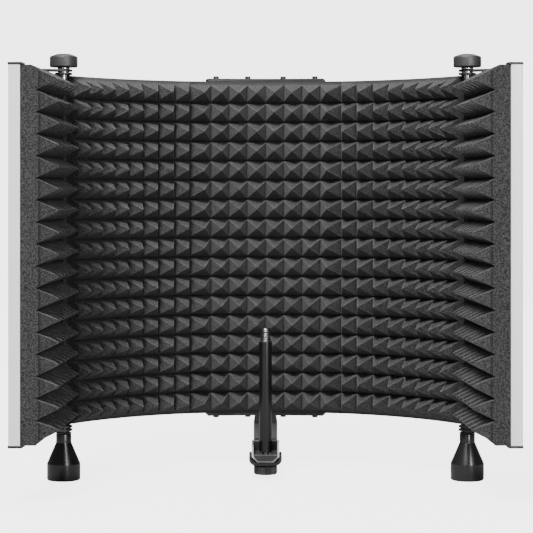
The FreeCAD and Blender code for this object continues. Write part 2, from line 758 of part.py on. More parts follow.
clip_out = d("clip_wide") / 2
clip_in = clip_out - d("clip_wall")
clip_rise = d("clip_high") - d("clip_low")
clip_floor = d("clip_wall")
bend = d("clip_bevel")
bend_in = d("clip_bevel_inner")
clip_blank = padded(
    "rail_clip_blank",
    [
        (-clip_out, bend), (-(clip_out - bend), 0), (clip_out - bend, 0), (clip_out, bend),
        (clip_out, clip_rise), (clip_in, clip_rise), (clip_in, clip_floor + bend_in),
        (clip_in - bend_in, clip_floor), (-(clip_in - bend_in), clip_floor),
        (-clip_in, clip_floor + bend_in), (-clip_in, clip_rise), (-clip_out, clip_rise),
    ],
    d("clip_long"), plane="XZ_Plane", both=True,
)
place(clip_blank, 0, carriage_y, n("clip_low"))
web = doc.addObject("Part::Box", "rail_clip_web")
web.setExpression("Length", (clip_in * 2).text)
web.setExpression("Width", "dims.clip_wall")
web.setExpression("Height", "dims.clip_web_high - dims.clip_web_low")
web.Placement.Base = FreeCAD.Vector(
    -clip_in.n, carriage_y + n("clip_long") / 2 - n("clip_wall"), n("clip_web_low")
)
clip_whole = fused("rail_clip_whole", [clip_blank, web])
keep(through("rail_clip", clip_whole, d("clip_wall") + 2, n("clip_low") - 1))

across = d("saddle_wide") / 2
within = d("saddle_inner") / 2
rise = d("saddle_high") - d("saddle_low")
bed = d("saddle_floor") - d("saddle_low")
curve = d("saddle_round")
corner = d("saddle_bevel")
saddle_blank = padded(
    "saddle_blank",
    [
        (-across, curve), (-(across - curve), 0), (across - curve, 0), (across, curve), (across, rise),
        (within, rise), (within, bed + corner), (within - corner, bed), (-(within - corner), bed),
        (-within, bed + corner), (-within, rise), (-across, rise),
    ],
    d("saddle_long"),
    arcs={
        0: (curve, (-(across - curve).n, curve.n)),
        2: (curve, ((across - curve).n, curve.n)),
    },
    plane="XZ_Plane", both=True,
)
place(saddle_blank, 0, carriage_y, n("saddle_low"))
keep(through("saddle", saddle_blank, bed + 2, n("saddle_low") - 1))

clamp_bore_low = d("clamp_low") + 3
clamp = turned(
    "clamp_knob",
    [
        (0, d("clamp_low")),
        (d("clamp_radius") - 1.2, d("clamp_low")), (d("clamp_radius"), d("clamp_low") + 1.2),
        (d("clamp_radius"), d("clamp_high") - 1), (d("clamp_radius") - 1, d("clamp_high")),
        (d("clamp_stud") + 0.02, d("clamp_high")), (d("clamp_stud") + 0.02, clamp_bore_low),
        (0, clamp_bore_low),
    ],
)
keep(place(clamp, 0, carriage_y, 0))

clamp_stud = cylinder(
    "clamp_stud", d("clamp_stud"), d("clamp_stud_long"), (0, carriage_y, clamp_bore_low.n + 0.05)
)
clamp_stud.Label = "clamp_stud"
keep(clamp_stud)

disc = cylinder(
    "clamp_disc", d("clamp_washer"), d("clamp_washer_thick"), (0, carriage_y, n("clamp_high") + 0.05)
)
keep(through("clamp_washer", disc, d("clamp_washer_thick") + 2, n("clamp_high") - 1))

# ---- checks and files ----------------------------------------------------------------------------------
doc.recompute()
bad = [o.Label for o in doc.Objects if "Invalid" in o.State or "Error" in o.State]
if bad:
    raise RuntimeError("not computed: " + ", ".join(bad))
for made in parts:
    shape = made.Shape
    if shape.isNull() or not shape.isValid():
        raise RuntimeError("bad shape: " + made.Label)
    shape.exportStep("parts/%s.step" % made.Label)
    box = shape.BoundBox
    print(
        "%-28s %9.0f mm3  x %7.2f %7.2f  y %7.2f %7.2f  z %6.2f %6.2f"
        % (made.Label, shape.Volume, box.XMin, box.XMax, box.YMin, box.YMax, box.ZMin, box.ZMax)
    )
print(len(parts), "pieces")
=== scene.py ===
"""Finished look of a folding microphone isolation shield: foam, perforated plates, hinges, feet and rail.

Metres throughout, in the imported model's frame: +Z up, the open front towards -Y, +X to the viewer's right.
"""
import json
import logging
import math
from collections.abc import Callable, Iterable, Sequence
from dataclasses import dataclass, field
from enum import Enum

import bmesh
import bpy
import numpy as np
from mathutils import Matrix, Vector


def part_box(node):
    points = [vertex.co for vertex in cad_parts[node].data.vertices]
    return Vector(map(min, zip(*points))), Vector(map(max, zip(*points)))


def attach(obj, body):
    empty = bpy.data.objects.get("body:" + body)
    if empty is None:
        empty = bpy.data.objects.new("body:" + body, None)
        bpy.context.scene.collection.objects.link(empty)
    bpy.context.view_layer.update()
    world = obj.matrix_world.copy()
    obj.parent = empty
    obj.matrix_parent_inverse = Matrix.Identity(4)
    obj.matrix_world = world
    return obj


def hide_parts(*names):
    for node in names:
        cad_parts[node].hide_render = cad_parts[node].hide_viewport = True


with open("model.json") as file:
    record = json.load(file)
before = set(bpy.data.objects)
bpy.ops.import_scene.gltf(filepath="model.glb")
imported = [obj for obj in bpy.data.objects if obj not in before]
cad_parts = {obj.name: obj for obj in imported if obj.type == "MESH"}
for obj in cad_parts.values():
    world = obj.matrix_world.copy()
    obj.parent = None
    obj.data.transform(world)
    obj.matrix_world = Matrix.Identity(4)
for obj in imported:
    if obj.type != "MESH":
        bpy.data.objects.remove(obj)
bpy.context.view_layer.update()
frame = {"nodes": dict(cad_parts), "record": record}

log = logging.getLogger("shield")

MM = 0.001
SAME_SPOT = 1e-6
NEAR = 2 * SAME_SPOT
WELD = 5 * SAME_SPOT
MERGE = 10 * SAME_SPOT
FLAT_TURN = math.radians(0.5)
HARD_TURN = math.radians(30.0)
BODY_OF = {
    node: body for body, nodes in frame["record"]["behaviour"]["bodies"].items() for node in nodes
}
Piece = bpy.types.Object
Shape = bmesh.types.BMesh
Tree = bpy.types.NodeTree
Node = bpy.types.Node
Socket = bpy.types.NodeSocket
Sockets = bpy.types.bpy_prop_collection
Material = bpy.types.Material
Pair = tuple[float, float]
Point = tuple[float, float, float]
Color = Point


class Side(Enum):
    """Which half of the shield a piece belongs to, as the viewer sees it."""

    LEFT = -1
    RIGHT = 1

    @property
    def word(self) -> str:
        """The ending that this half's node names carry."""
        return self.name.lower()


class Domain(Enum):
    """Which kind of socket a node tree's named input is."""

    GEOMETRY = "NodeSocketGeometry"
    WHOLE = "NodeSocketInt"
    NUMBER = "NodeSocketFloat"
    MATERIAL = "NodeSocketMaterial"
    OBJECT = "NodeSocketObject"
    VECTOR = "NodeSocketVector"


# ---- meshes ----


def new_object(name: str, mesh: bpy.types.Mesh) -> Piece:
    """Puts a mesh into the scene at the origin.

    Args:
        name: The piece's name.
        mesh: Its mesh, with its place in its points.

    Returns:
        The new object.
    """
    made = bpy.data.objects.new(name, mesh)
    bpy.context.scene.collection.objects.link(made)
    return made


def mesh_object(
    name: str, corners: Sequence[Sequence[float]], faces: Sequence[Sequence[int]]
) -> Piece:
    """Makes an object from corners and faces.

    Args:
        name: The piece's name.
        corners: Points in metres.
        faces: Index loops, outward by the right hand.

    Returns:
        The new object.
    """
    mesh = bpy.data.meshes.new(name)
    mesh.from_pydata([tuple(map(float, c)) for c in corners], [], faces)
    mesh.update()
    return new_object(name, mesh)


def reworked(made: Piece, change: Callable[[Shape], None]) -> Piece:
    """Runs a change over an object's mesh.

    Args:
        made: The object.
        change: A function that edits the mesh it is given.

    Returns:
        The same object.
    """
    work = bmesh.new()
    work.from_mesh(made.data)
    change(work)
    work.to_mesh(made.data)
    work.free()
    made.data.update()
    return made


def face_outwards(work: Shape) -> None:
    """Turns every face of a closed mesh outwards."""
    bmesh.ops.recalc_face_normals(work, faces=work.faces[:])


def turn_over(work: Shape) -> None:
    """Turns every face the other way."""
    bmesh.ops.reverse_faces(work, faces=work.faces[:])


def merge_close(work: Shape) -> None:
    """Joins the points that loose triangles leave on one spot."""
    bmesh.ops.remove_doubles(work, verts=work.verts[:], dist=WELD)


def split_large(work: Shape) -> None:
    """Splits faces of more than four corners, which may be concave, into triangles."""
    bmesh.ops.triangulate(work, faces=[f for f in work.faces if len(f.verts) > 4])


def smooth(made: Piece, degrees: float = 35.0) -> Piece:
    """Shades a piece smooth except over edges sharper than an angle.

    Args:
        made: The piece.
        degrees: Edges turning more than this stay sharp.

    Returns:
        The same piece.
    """
    mesh = made.data
    mesh.polygons.foreach_set("use_smooth", [True] * len(mesh.polygons))
    mesh.set_sharp_from_angle(angle=math.radians(degrees))
    mesh.update()
    return made


def made_plain(source: Piece, name: str) -> Piece:
    """Turns what an object's modifiers make into a plain mesh and drops the source.

    Args:
        source: The object with live modifiers.
        name: The finished piece's name.

    Returns:
        The plain piece.
    """
    graph = bpy.context.evaluated_depsgraph_get()
    mesh = bpy.data.meshes.new_from_object(
        source.evaluated_get(graph), preserve_all_data_layers=True, depsgraph=graph
    )
    mesh.name = name
    old = source.data
    source.modifiers.clear()
    bpy.data.objects.remove(source)
    bpy.data.meshes.remove(old)
    return new_object(name, mesh)


def filleted(corners: Sequence[Point], closed: bool, steps: int = 4) -> list[Pair]:
    """Rounds the corners of an outline.

    Args:
        corners: (across, up, radius) of each corner; a radius of 0 leaves it sharp.
        closed: Whether the outline runs back to its first corner.
        steps: Segments in each rounded corner.

    Returns:
        The rounded outline's points.
    """
    points: list[Pair] = []
    count = len(corners)
    for i, (x, y, radius) in enumerate(corners):
        at_end = not closed and i in (0, count - 1)
        if radius <= 0 or at_end:
            points.append((x, y))
            continue
        here = np.array((x, y))
        back = np.array(corners[i - 1][:2]) - here
        ahead = np.array(corners[(i + 1) % count][:2]) - here
        back_long, ahead_long = np.linalg.norm(back), np.linalg.norm(ahead)
        back, ahead = back / back_long, ahead / ahead_long
        half = math.acos(float(np.clip(back @ ahead, -1, 1))) / 2
        reach = min(radius / math.tan(half), 0.49 * back_long, 0.49 * ahead_long)
        radius = reach * math.tan(half)
        centre = here + (back + ahead) / np.linalg.norm(back + ahead) * radius / math.sin(half)
        first, last = here + back * reach - centre, here + ahead * reach - centre
        start = math.atan2(first[1], first[0])
        turn = (math.atan2(last[1], last[0]) - start + math.pi) % (2 * math.pi) - math.pi
        for step in range(steps + 1):
            angle = start + turn * step / steps
            points.append((centre[0] + radius * math.cos(angle), centre[1] + radius * math.sin(angle)))
    return points


def lathed(
    name: str, profile: Sequence[Point], axis: Pair, segments: int = 96, closed: bool = False
) -> Piece:
    """Turns a rounded outline about an upright axis.

    Args:
        name: The piece's name.
        profile: (radius, height, corner radius) from one end to the other; radius 0 is on the axis.
        axis: The axis's x and y.
        segments: Steps round the axis.
        closed: True for a ring, whose outline runs back to its start.

    Returns:
        The turned piece, closed and facing outwards.
    """
    outline = filleted(profile, closed)
    corners: list[Point] = []
    rings: list[list[int]] = []
    for radius, height in outline:
        if radius < SAME_SPOT:
            rings.append([len(corners)] * segments)
            corners.append((axis[0], axis[1], height))
            continue
        rings.append(list(range(len(corners), len(corners) + segments)))
        for step in range(segments):
            angle = 2 * math.pi * step / segments
            corners.append((axis[0] + radius * math.cos(angle), axis[1] + radius * math.sin(angle), height))
    faces = []
    pairs = list(zip(rings, rings[1:])) + ([(rings[-1], rings[0])] if closed else [])
    for lower, upper in pairs:
        for step in range(segments):
            after = (step + 1) % segments
            loop = [lower[step], lower[after], upper[after], upper[step]]
            loop = [v for k, v in enumerate(loop) if v != loop[k - 1]]
            if len(loop) > 2:
                faces.append(loop)
    return smooth(reworked(mesh_object(name, corners, faces), face_outwards))


def extruded(
    name: str, section: Sequence[Pair], low: float, high: float,
    place: Callable[[float, float], Pair],
) -> Piece:
    """Runs a closed section straight up.

    Args:
        name: The piece's name.
        section: The section's points in its own plan.
        low: Height of the lower end.
        high: Height of the upper end.
        place: Gives the frame's x and y of a point of the section.

    Returns:
        The piece, closed and facing outwards.
    """
    plan = [place(*point) for point in section]
    count = len(plan)
    corners = [(x, y, z) for z in (low, high) for x, y in plan]
    faces = [[i, (i + 1) % count, count + (i + 1) % count, count + i] for i in range(count)]
    faces += [list(range(count))[::-1], list(range(count, 2 * count))]

    def close(work: Shape) -> None:
        """Splits the end faces and turns all faces outwards."""
        split_large(work)
        face_outwards(work)

    return smooth(reworked(mesh_object(name, corners, faces), close))


def softened(node: str, width: float, cut_sheet: bool = False) -> Piece:
    """A copy of a CAD node whose hard edges are broken, with those faces marked as edges.

    Args:
        node: The CAD node.
        width: How far the edge is broken, in metres.
        cut_sheet: Whether the front and top faces are marked as bare cut edges too; on the clip their pale
            colour is bare metal with a painted highlight.

    Returns:
        The new piece, with the face mark in its corner attribute "edge".
    """
    made = new_object(node + "_soft", frame["nodes"][node].data.copy())
    skin = 0.05 * MM

    def soften(work: Shape) -> None:
        """Merges the loose triangles, joins flat ones and bevels the sharp edges.

        Args:
            work: The node's mesh.
        """
        merge_close(work)
        bmesh.ops.dissolve_limit(work, angle_limit=FLAT_TURN, verts=work.verts[:], edges=work.edges[:])
        sharp = [e for e in work.edges if e.is_manifold and e.calc_face_angle(0.0) > HARD_TURN]
        cut = bmesh.ops.bevel(
            work, geom=sharp, offset=width, segments=2, profile=0.5, affect="EDGES", clamp_overlap=True
        )
        layer = work.loops.layers.float.new("edge")
        low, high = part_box(node)
        bare = list(cut["faces"])
        if cut_sheet:
            for face in work.faces:
                middle = face.calc_center_median()
                if middle.y < low[1] + skin or middle.z > high[2] - skin:
                    bare.append(face)
        for face in bare:
            for loop in face.loops:
                loop[layer] = 1.0

    smooth(reworked(made, soften), 50.0)
    made.modifiers.new("flat_faces", "WEIGHTED_NORMAL").keep_sharp = True
    return made_plain(made, node + "_finished")


def islands(node: str) -> list[np.ndarray]:
    """The points of each separate solid in a CAD node.

    Args:
        node: The CAD node, a group of separate solids.

    Returns:
        One array of points for each solid, lowest and leftmost first.
    """
    work = bmesh.new()
    work.from_mesh(frame["nodes"][node].data)
    merge_close(work)
    left = set(work.verts)
    found = []
    while left:
        stack = [left.pop()]
        group = []
        while stack:
            vert = stack.pop()
            group.append(tuple(vert.co))
            for edge in vert.link_edges:
                other = edge.other_vert(vert)
                if other in left:
                    left.discard(other)
                    stack.append(other)
        found.append(np.array(group))
    work.free()
    return sorted(found, key=lambda points: tuple(np.round(points.mean(axis=0)[[2, 0, 1]], 5)))
def extent(node: str) -> Point:
    """The radius, lower end and upper end of a round CAD node that stands upright."""
    (left, _, low), (right, _, high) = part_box(node)
    return (right - left) / 2, low, high


def axis_of(node: str) -> Pair:
    """The x and y of a round CAD node's upright axis."""
    low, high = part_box(node)
    return (low[0] + high[0]) / 2, (low[1] + high[1]) / 2


# ---- node trees ----


def wire(tree: Tree, node: Node, inputs: dict) -> Node:
    """Links or fills a node's inputs.

    Args:
        tree: The tree that the node is in.
        node: The node.
        inputs: Value or output socket for each input, by name or number.

    Returns:
        The same node.
    """
    for key, value in inputs.items():
        if isinstance(value, Socket):
            tree.links.new(value, node.inputs[key])
        else:
            node.inputs[key].default_value = value
    return node


def add_node(tree: Tree, kind: str, inputs: dict | None = None, **settings: object) -> Node:
    """Adds a node, sets its options and wires or fills its inputs.

    Args:
        tree: The tree it goes in.
        kind: The node's type.
        inputs: Value or output socket for each input, by name or number.
        settings: The node's own options.

    Returns:
        The new node.
    """
    node = tree.nodes.new(kind)
    for key, value in settings.items():
        setattr(node, key, value)
    return wire(tree, node, inputs or {})


def math_node(tree: Tree, operation: str, *values: object) -> Socket:
    """Adds a Math node on numbers or output sockets, and returns its output."""
    return add_node(tree, "ShaderNodeMath", dict(enumerate(values)), operation=operation).outputs[0]


def noise(tree: Tree, place: Socket, scale: Socket | float, detail: float) -> Socket:
    """Adds a Noise Texture read at a place, and returns its value from 0 to 1."""
    inputs = {"Vector": place, "Scale": scale, "Detail": detail}
    return add_node(tree, "ShaderNodeTexNoise", inputs).outputs[0]


def spread(tree: Tree, value: Socket, seen: Pair = (0.0, 1.0), given: Pair = (0.0, 1.0)) -> Socket:
    """Maps one range of numbers on to another.

    Args:
        tree: The tree it goes in.
        value: The number.
        seen: The range that it is read over.
        given: What the two ends of that range become.

    Returns:
        The mapped number, held inside the second range.
    """
    ends = {"From Min": seen[0], "From Max": seen[1], "To Min": given[0], "To Max": given[1]}
    return add_node(tree, "ShaderNodeMapRange", {"Value": value, **ends}).outputs[0]


def new_tree(
    name: str, kind: str, takes: dict[str, Domain], gives: dict[str, Domain]
) -> tuple[Tree, Sockets, Sockets]:
    """Starts a node group with named sockets.

    Args:
        name: The group's name.
        kind: Blender's type of tree.
        takes: Its inputs.
        gives: Its outputs.

    Returns:
        The tree, what it takes and what it gives, as sockets inside it.
    """
    tree = bpy.data.node_groups.new(name, kind)
    for way, sockets in (("INPUT", takes), ("OUTPUT", gives)):
        for label, socket in sockets.items():
            tree.interface.new_socket(name=label, in_out=way, socket_type=socket.value)
    return tree, tree.nodes.new("NodeGroupInput").outputs, tree.nodes.new("NodeGroupOutput").inputs


class Repeats:
    """The geometry node trees that repeat a small mesh over a field, round an axis or on spots."""

    def __init__(self) -> None:
        """Builds the three trees once."""
        self.field = self._field_tree()
        self.round = self._round_tree()
        self.spots = self._spots_tree()

    @staticmethod
    def _start(name: str, own: dict[str, Domain]) -> tuple[Tree, Sockets, Sockets]:
        """Starts a tree with its own inputs and the two that all three share."""
        takes = {**own, "Merge Distance": Domain.NUMBER, "Material": Domain.MATERIAL}
        return new_tree(name, "GeometryNodeTree", takes, {"Geometry": Domain.GEOMETRY})

    @staticmethod
    def _finish(tree: Tree, takes: Sockets, gives: Sockets, **placed: Socket) -> Tree:
        """Puts a shape on points, makes it real, merges meeting points and sets the material.

        Args:
            tree: The tree.
            takes: What it takes.
            gives: What it gives.
            placed: The Points, the Instance that goes on them, and its Rotation if it has one.

        Returns:
            The same tree.
        """
        steps = (
            ("GeometryNodeRealizeInstances", {}),
            ("GeometryNodeMergeByDistance", {"Distance": takes["Merge Distance"]}),
            ("GeometryNodeSetMaterial", {"Material": takes["Material"]}),
        )
        node = add_node(tree, "GeometryNodeInstanceOnPoints", placed)
        for kind, inputs in steps:
            node = add_node(tree, kind, {"Geometry": node.outputs[0], **inputs})
        tree.links.new(node.outputs[0], gives[0])
        return tree

    def _field_tree(self) -> Tree:
        """A flat field of tiles in columns and rows.

        Returns:
            The tree.
        """
        own = {
            "Tile": Domain.GEOMETRY, "Columns": Domain.WHOLE, "Rows": Domain.WHOLE,
            "Column Pitch": Domain.NUMBER, "Row Pitch": Domain.NUMBER,
        }
        tree, takes, gives = self._start("tile_field", own)
        sizes = {"Vertices X": takes["Columns"], "Vertices Y": takes["Rows"]}
        for size, count, pitch in (("Size X", "Columns", "Column Pitch"), ("Size Y", "Rows", "Row Pitch")):
            gaps = math_node(tree, "SUBTRACT", takes[count], 1.0)
            sizes[size] = math_node(tree, "MULTIPLY", gaps, takes[pitch])
        grid = add_node(tree, "GeometryNodeMeshGrid", sizes)
        return self._finish(tree, takes, gives, Points=grid.outputs["Mesh"], Instance=takes["Tile"])

    def _round_tree(self) -> Tree:
        """One sector turned round the Z axis until it closes.

        Returns:
            The tree.
        """
        tree, takes, gives = self._start(
            "sector_round", {"Sector": Domain.GEOMETRY, "Count": Domain.WHOLE}
        )
        line = add_node(tree, "GeometryNodeMeshLine", {"Count": takes["Count"], "Offset": (0, 0, 0)})
        index = add_node(tree, "GeometryNodeInputIndex")
        share = math_node(tree, "DIVIDE", index.outputs[0], takes["Count"])
        angle = math_node(tree, "MULTIPLY", share, 2 * math.pi)
        turn = add_node(tree, "ShaderNodeCombineXYZ", {"Z": angle}).outputs[0]
        return self._finish(
            tree, takes, gives, Points=line.outputs[0], Instance=takes["Sector"], Rotation=turn
        )

    def _spots_tree(self) -> Tree:
        """A fastener standing on each point along that point's "facing".

        Returns:
            The tree.
        """
        tree, takes, gives = self._start(
            "fastener_spots", {"Spots": Domain.GEOMETRY, "Fastener": Domain.OBJECT}
        )
        shape = add_node(tree, "GeometryNodeObjectInfo", {"Object": takes["Fastener"]}).outputs["Geometry"]
        facing = add_node(
            tree, "GeometryNodeInputNamedAttribute", {"Name": "facing"}, data_type="FLOAT_VECTOR"
        )
        turn = add_node(
            tree, "FunctionNodeAlignRotationToVector", {"Vector": facing.outputs[0]}, axis="Z"
        ).outputs[0]
        return self._finish(tree, takes, gives, Points=takes["Spots"], Instance=shape, Rotation=turn)

    @staticmethod
    def run(source: Piece, tree: Tree, values: dict[str, object], name: str) -> Piece:
        """Runs a tree over an object and returns the plain mesh.

        Args:
            source: The object that the tree reads; it is used up.
            tree: One of the trees above.
            values: The tree's inputs by name.
            name: The result's name.

        Returns:
            The plain piece.
        """
        modifier = source.modifiers.new("repeat", "NODES")
        modifier.node_group = tree
        names = {
            item.name: item.identifier for item in tree.interface.items_tree if item.in_out == "INPUT"
        }
        for label, value in {"Merge Distance": MERGE, **values}.items():
            modifier[names[label]] = value
        return made_plain(source, name)


# ---- shared shader effects ----


class Effects:
    """Shader node groups that more than one finish uses. They give only masks, tones and heights."""

    def __init__(self) -> None:
        """Builds each group once."""
        self.grain = self._grain()
        self.edge_wear = self._edge_wear()
        self.dust = self._dust()
        self.brushed = self._brushed()

    @staticmethod
    def _start(name: str, numbers: Sequence[str], results: Sequence[str]) -> tuple[Tree, Sockets, Sockets]:
        """Starts a group that takes a place and numbers, and gives numbers."""
        takes = {"Place": Domain.VECTOR, **dict.fromkeys(numbers, Domain.NUMBER)}
        return new_tree(name, "ShaderNodeTree", takes, dict.fromkeys(results, Domain.NUMBER))

    def _grain(self) -> Tree:
        """Coarse and fine noise: a tone about 0.5 and a height.

        Returns:
            The group.
        """
        tree, takes, gives = self._start("grain", ("Coarse", "Fine", "Contrast"), ("Tone", "Height"))
        coarse = noise(tree, takes["Place"], takes["Coarse"], 3.0)
        fine = noise(tree, takes["Place"], takes["Fine"], 2.0)
        both = math_node(tree, "MULTIPLY_ADD", fine, 0.5, math_node(tree, "MULTIPLY", coarse, 0.5))
        off = math_node(tree, "SUBTRACT", both, 0.5)
        tree.links.new(math_node(tree, "MULTIPLY_ADD", off, takes["Contrast"], 0.5), gives["Tone"])
        tree.links.new(both, gives["Height"])
        return tree

    def _edge_wear(self) -> Tree:
        """A broken mask along the faces marked as edges.

        Returns:
            The group.
        """
        tree, takes, gives = self._start("edge_wear", ("Edge", "Scale", "Amount"), ("Mask",))
        broken_up = (0.38, 0.62)
        shown = spread(tree, noise(tree, takes["Place"], takes["Scale"], 4.0), broken_up)
        mask = math_node(tree, "MULTIPLY", shown, takes["Edge"])
        tree.links.new(math_node(tree, "MULTIPLY", mask, takes["Amount"]), gives["Mask"])
        return tree

    def _dust(self) -> Tree:
        """A patchy mask on faces that look up.

        Returns:
            The group.
        """
        tree, takes, gives = self._start("dust", ("Amount",), ("Mask",))
        normal = add_node(tree, "ShaderNodeNewGeometry").outputs["Normal"]
        up = add_node(tree, "ShaderNodeSeparateXYZ", {0: normal}).outputs["Z"]
        patch_scale, flat_enough = 45.0, (0.2, 1.0)
        patches = noise(tree, takes["Place"], patch_scale, 5.0)
        mask = math_node(tree, "MULTIPLY", spread(tree, up, flat_enough), patches)
        tree.links.new(math_node(tree, "MULTIPLY", mask, takes["Amount"]), gives["Mask"])
        return tree

    def _brushed(self) -> Tree:
        """Fine lines that run along Z: a tone about 0.5 and a height.

        Returns:
            The group.
        """
        tree, takes, gives = self._start("brushed", ("Across", "Along"), ("Tone", "Height"))
        across = takes["Across"]
        scale = add_node(tree, "ShaderNodeCombineXYZ", {"X": across, "Y": across, "Z": takes["Along"]})
        drawn = add_node(
            tree, "ShaderNodeVectorMath", {0: takes["Place"], 1: scale.outputs[0]}, operation="MULTIPLY"
        )
        lines = noise(tree, drawn.outputs[0], 1.0, 3.0)
        for result in ("Tone", "Height"):
            tree.links.new(lines, gives[result])
        return tree


@dataclass
class Paintwork:
    """A material being mixed: its tree, its shader and the pieces' own coordinates."""

    name: str
    effects: Effects
    material: Material = field(init=False)
    tree: Tree = field(init=False)
    shader: Node = field(init=False)
    place: Socket = field(init=False)

    def __post_init__(self) -> None:
        """Starts the material with a Principled shader and Object coordinates."""
        self.material = bpy.data.materials.new(self.name)
        self.material.use_nodes = True
        self.tree = self.material.node_tree
        self.tree.nodes.clear()
        self.shader = add_node(self.tree, "ShaderNodeBsdfPrincipled")
        output = add_node(self.tree, "ShaderNodeOutputMaterial")
        self.tree.links.new(self.shader.outputs[0], output.inputs["Surface"])
        self.place = add_node(self.tree, "ShaderNodeTexCoord").outputs["Object"]

    def effect(self, group: Tree, inputs: dict) -> Node:
        """Puts one of the shared groups into this material, with its values by name."""
        node = add_node(self.tree, "ShaderNodeGroup", node_tree=group)
        return wire(self.tree, node, {"Place": self.place, **inputs})

    def mix(self, factor: Socket, first: Socket | Color, second: Socket | Color) -> Socket:
        """Mixes two colours by a mask.

        Args:
            factor: 0 gives the first, 1 the second.
            first: A colour or an output socket.
            second: A colour or an output socket.

        Returns:
            The mixed colour.
        """
        node = add_node(self.tree, "ShaderNodeMix", {0: factor}, data_type="RGBA")
        for number, value in ((6, first), (7, second)):
            wire(self.tree, node, {number: value if isinstance(value, Socket) else (*value, 1.0)})
        return node.outputs[2]

    def bump(self, height: Socket, strength: float, deep: float) -> None:
        """Raises the surface by a height from 0 to 1, shown at a strength, deep metres at most."""
        inputs = {"Height": height, "Strength": strength, "Distance": deep}
        self.link(add_node(self.tree, "ShaderNodeBump", inputs).outputs[0], "Normal")

    def mark(self, name: str) -> Socket:
        """The mask in one of the mesh's attributes."""
        return add_node(self.tree, "ShaderNodeAttribute", attribute_name=name).outputs["Fac"]

    def edge_mask(self, scale: float, amount: float) -> Socket:
        """The mask on the faces marked "edge": wear, and on the rail and clip a painted highlight."""
        values = {"Edge": self.mark("edge"), "Scale": scale, "Amount": amount}
        return self.effect(self.effects.edge_wear, values).outputs["Mask"]

    def grain(self, coarse: float, fine: float, contrast: float) -> Sockets:
        """The tone and the height of coarse and fine grain."""
        values = {"Coarse": coarse, "Fine": fine, "Contrast": contrast}
        return self.effect(self.effects.grain, values).outputs

    def surface(self, color: Socket, tone: Socket, rough: Pair) -> None:
        """Gives the shader its colour, and a roughness that follows a tone between two ends."""
        self.link(color, "Base Color")
        self.link(spread(self.tree, tone, given=rough), "Roughness")

    def dusted(self, under: Socket, amount: float, dust: Color) -> Socket:
        """A colour with dust on the faces that look up."""
        mask = self.effect(self.effects.dust, {"Amount": amount}).outputs["Mask"]
        return self.mix(mask, under, dust)

    def link(self, value: Socket, socket: str) -> None:
        """Feeds one of the shader's sockets."""
        self.tree.links.new(value, self.shader.inputs[socket])

    def fixed(self, **values: float) -> None:
        """Sets the shader's own sockets, with _ for each space in a name."""
        for key, value in values.items():
            self.shader.inputs[key.replace("_", " ")].default_value = value


def grey(tone: float, blue: float | None = None) -> Color:
    """A grey, with its blue part a little higher if given."""
    return tone, tone, tone if blue is None else blue


@dataclass(frozen=True)
class FoamFinish:
    """Matt open-cell foam: pores, tone patches, painted shade in the valleys and painted highlights along the
    ridges.
    """

    slot: str = "foam"
    deep: Color = grey(0.009, 0.010)
    light: Color = grey(0.074, 0.076)
    # Painted highlight colour along the pyramids' ridges; the dust on up-facing faces takes it too.
    ridge: Color = grey(0.135, 0.138)
    # Painted shade colour for the valleys between the pyramids.
    crease: Color = grey(0.004)
    ridge_half: float = 0.062
    crease_half: float = 0.15
    crease_share: float = 0.92
    slope_share: float = 0.8718
    patch_scale: float = 780.0
    pore_scale: float = 2100.0
    pore_deep: float = 0.0011
    contrast: float = 8.0
    # How much of the painted ridge highlight the grain lets through.
    rubbed: Pair = (0.35, 1.0)
    rough: Pair = (0.9, 1.0)
    dust: float = 0.10
    relief: float = 0.9
    sheen: float = 0.12
    sheen_rough: float = 0.6
    gloss: float = 0.12

    def masks(self, tree: Tree) -> tuple[Socket, Socket]:
        """Masks from the tile's own map of places.

        Args:
            tree: The material's tree.

        Returns:
            A mask for the painted highlight along each pyramid's ridges, and one for the painted shade along
            the valleys.
        """
        tile = add_node(tree, "ShaderNodeUVMap", uv_map="tile")
        parts = add_node(tree, "ShaderNodeSeparateXYZ", {0: tile.outputs[0]})
        across, up = (math_node(tree, "ABSOLUTE", parts.outputs[i]) for i in range(2))
        slope = math_node(tree, "SUBTRACT", math_node(tree, "MULTIPLY", across, self.slope_share), up)
        outer = math_node(tree, "SUBTRACT", math_node(tree, "MAXIMUM", across, up), 1.0)
        ridge, crease = (
            spread(tree, math_node(tree, "ABSOLUTE", off), (0.0, half), (share, 0.0))
            for off, half, share in (
                (slope, self.ridge_half, 1.0), (outer, self.crease_half, self.crease_share)
            )
        )
        return ridge, crease

    def material(self, effects: Effects) -> Material:
        """Mixes the material.

        Args:
            effects: The shared groups.

        Returns:
            The material.
        """
        work = Paintwork("charcoal_foam", effects)
        grain = work.grain(self.patch_scale, self.pore_scale, self.contrast)
        ridge, crease = self.masks(work.tree)
        # Painted highlight along the ridges, broken up by the grain.
        broken = math_node(
            work.tree, "MULTIPLY", ridge, spread(work.tree, grain["Tone"], given=self.rubbed)
        )
        # Painted shade darkens the valleys.
        base = work.mix(crease, work.mix(grain["Tone"], self.deep, self.light), self.crease)
        ridge_highlighted = work.mix(broken, base, self.ridge)
        work.surface(work.dusted(ridge_highlighted, self.dust, self.ridge), grain["Tone"], self.rough)
        work.bump(grain["Height"], self.relief, self.pore_deep)
        work.fixed(
            Specular_IOR_Level=self.gloss, Sheen_Weight=self.sheen, Sheen_Roughness=self.sheen_rough
        )
        return work.material


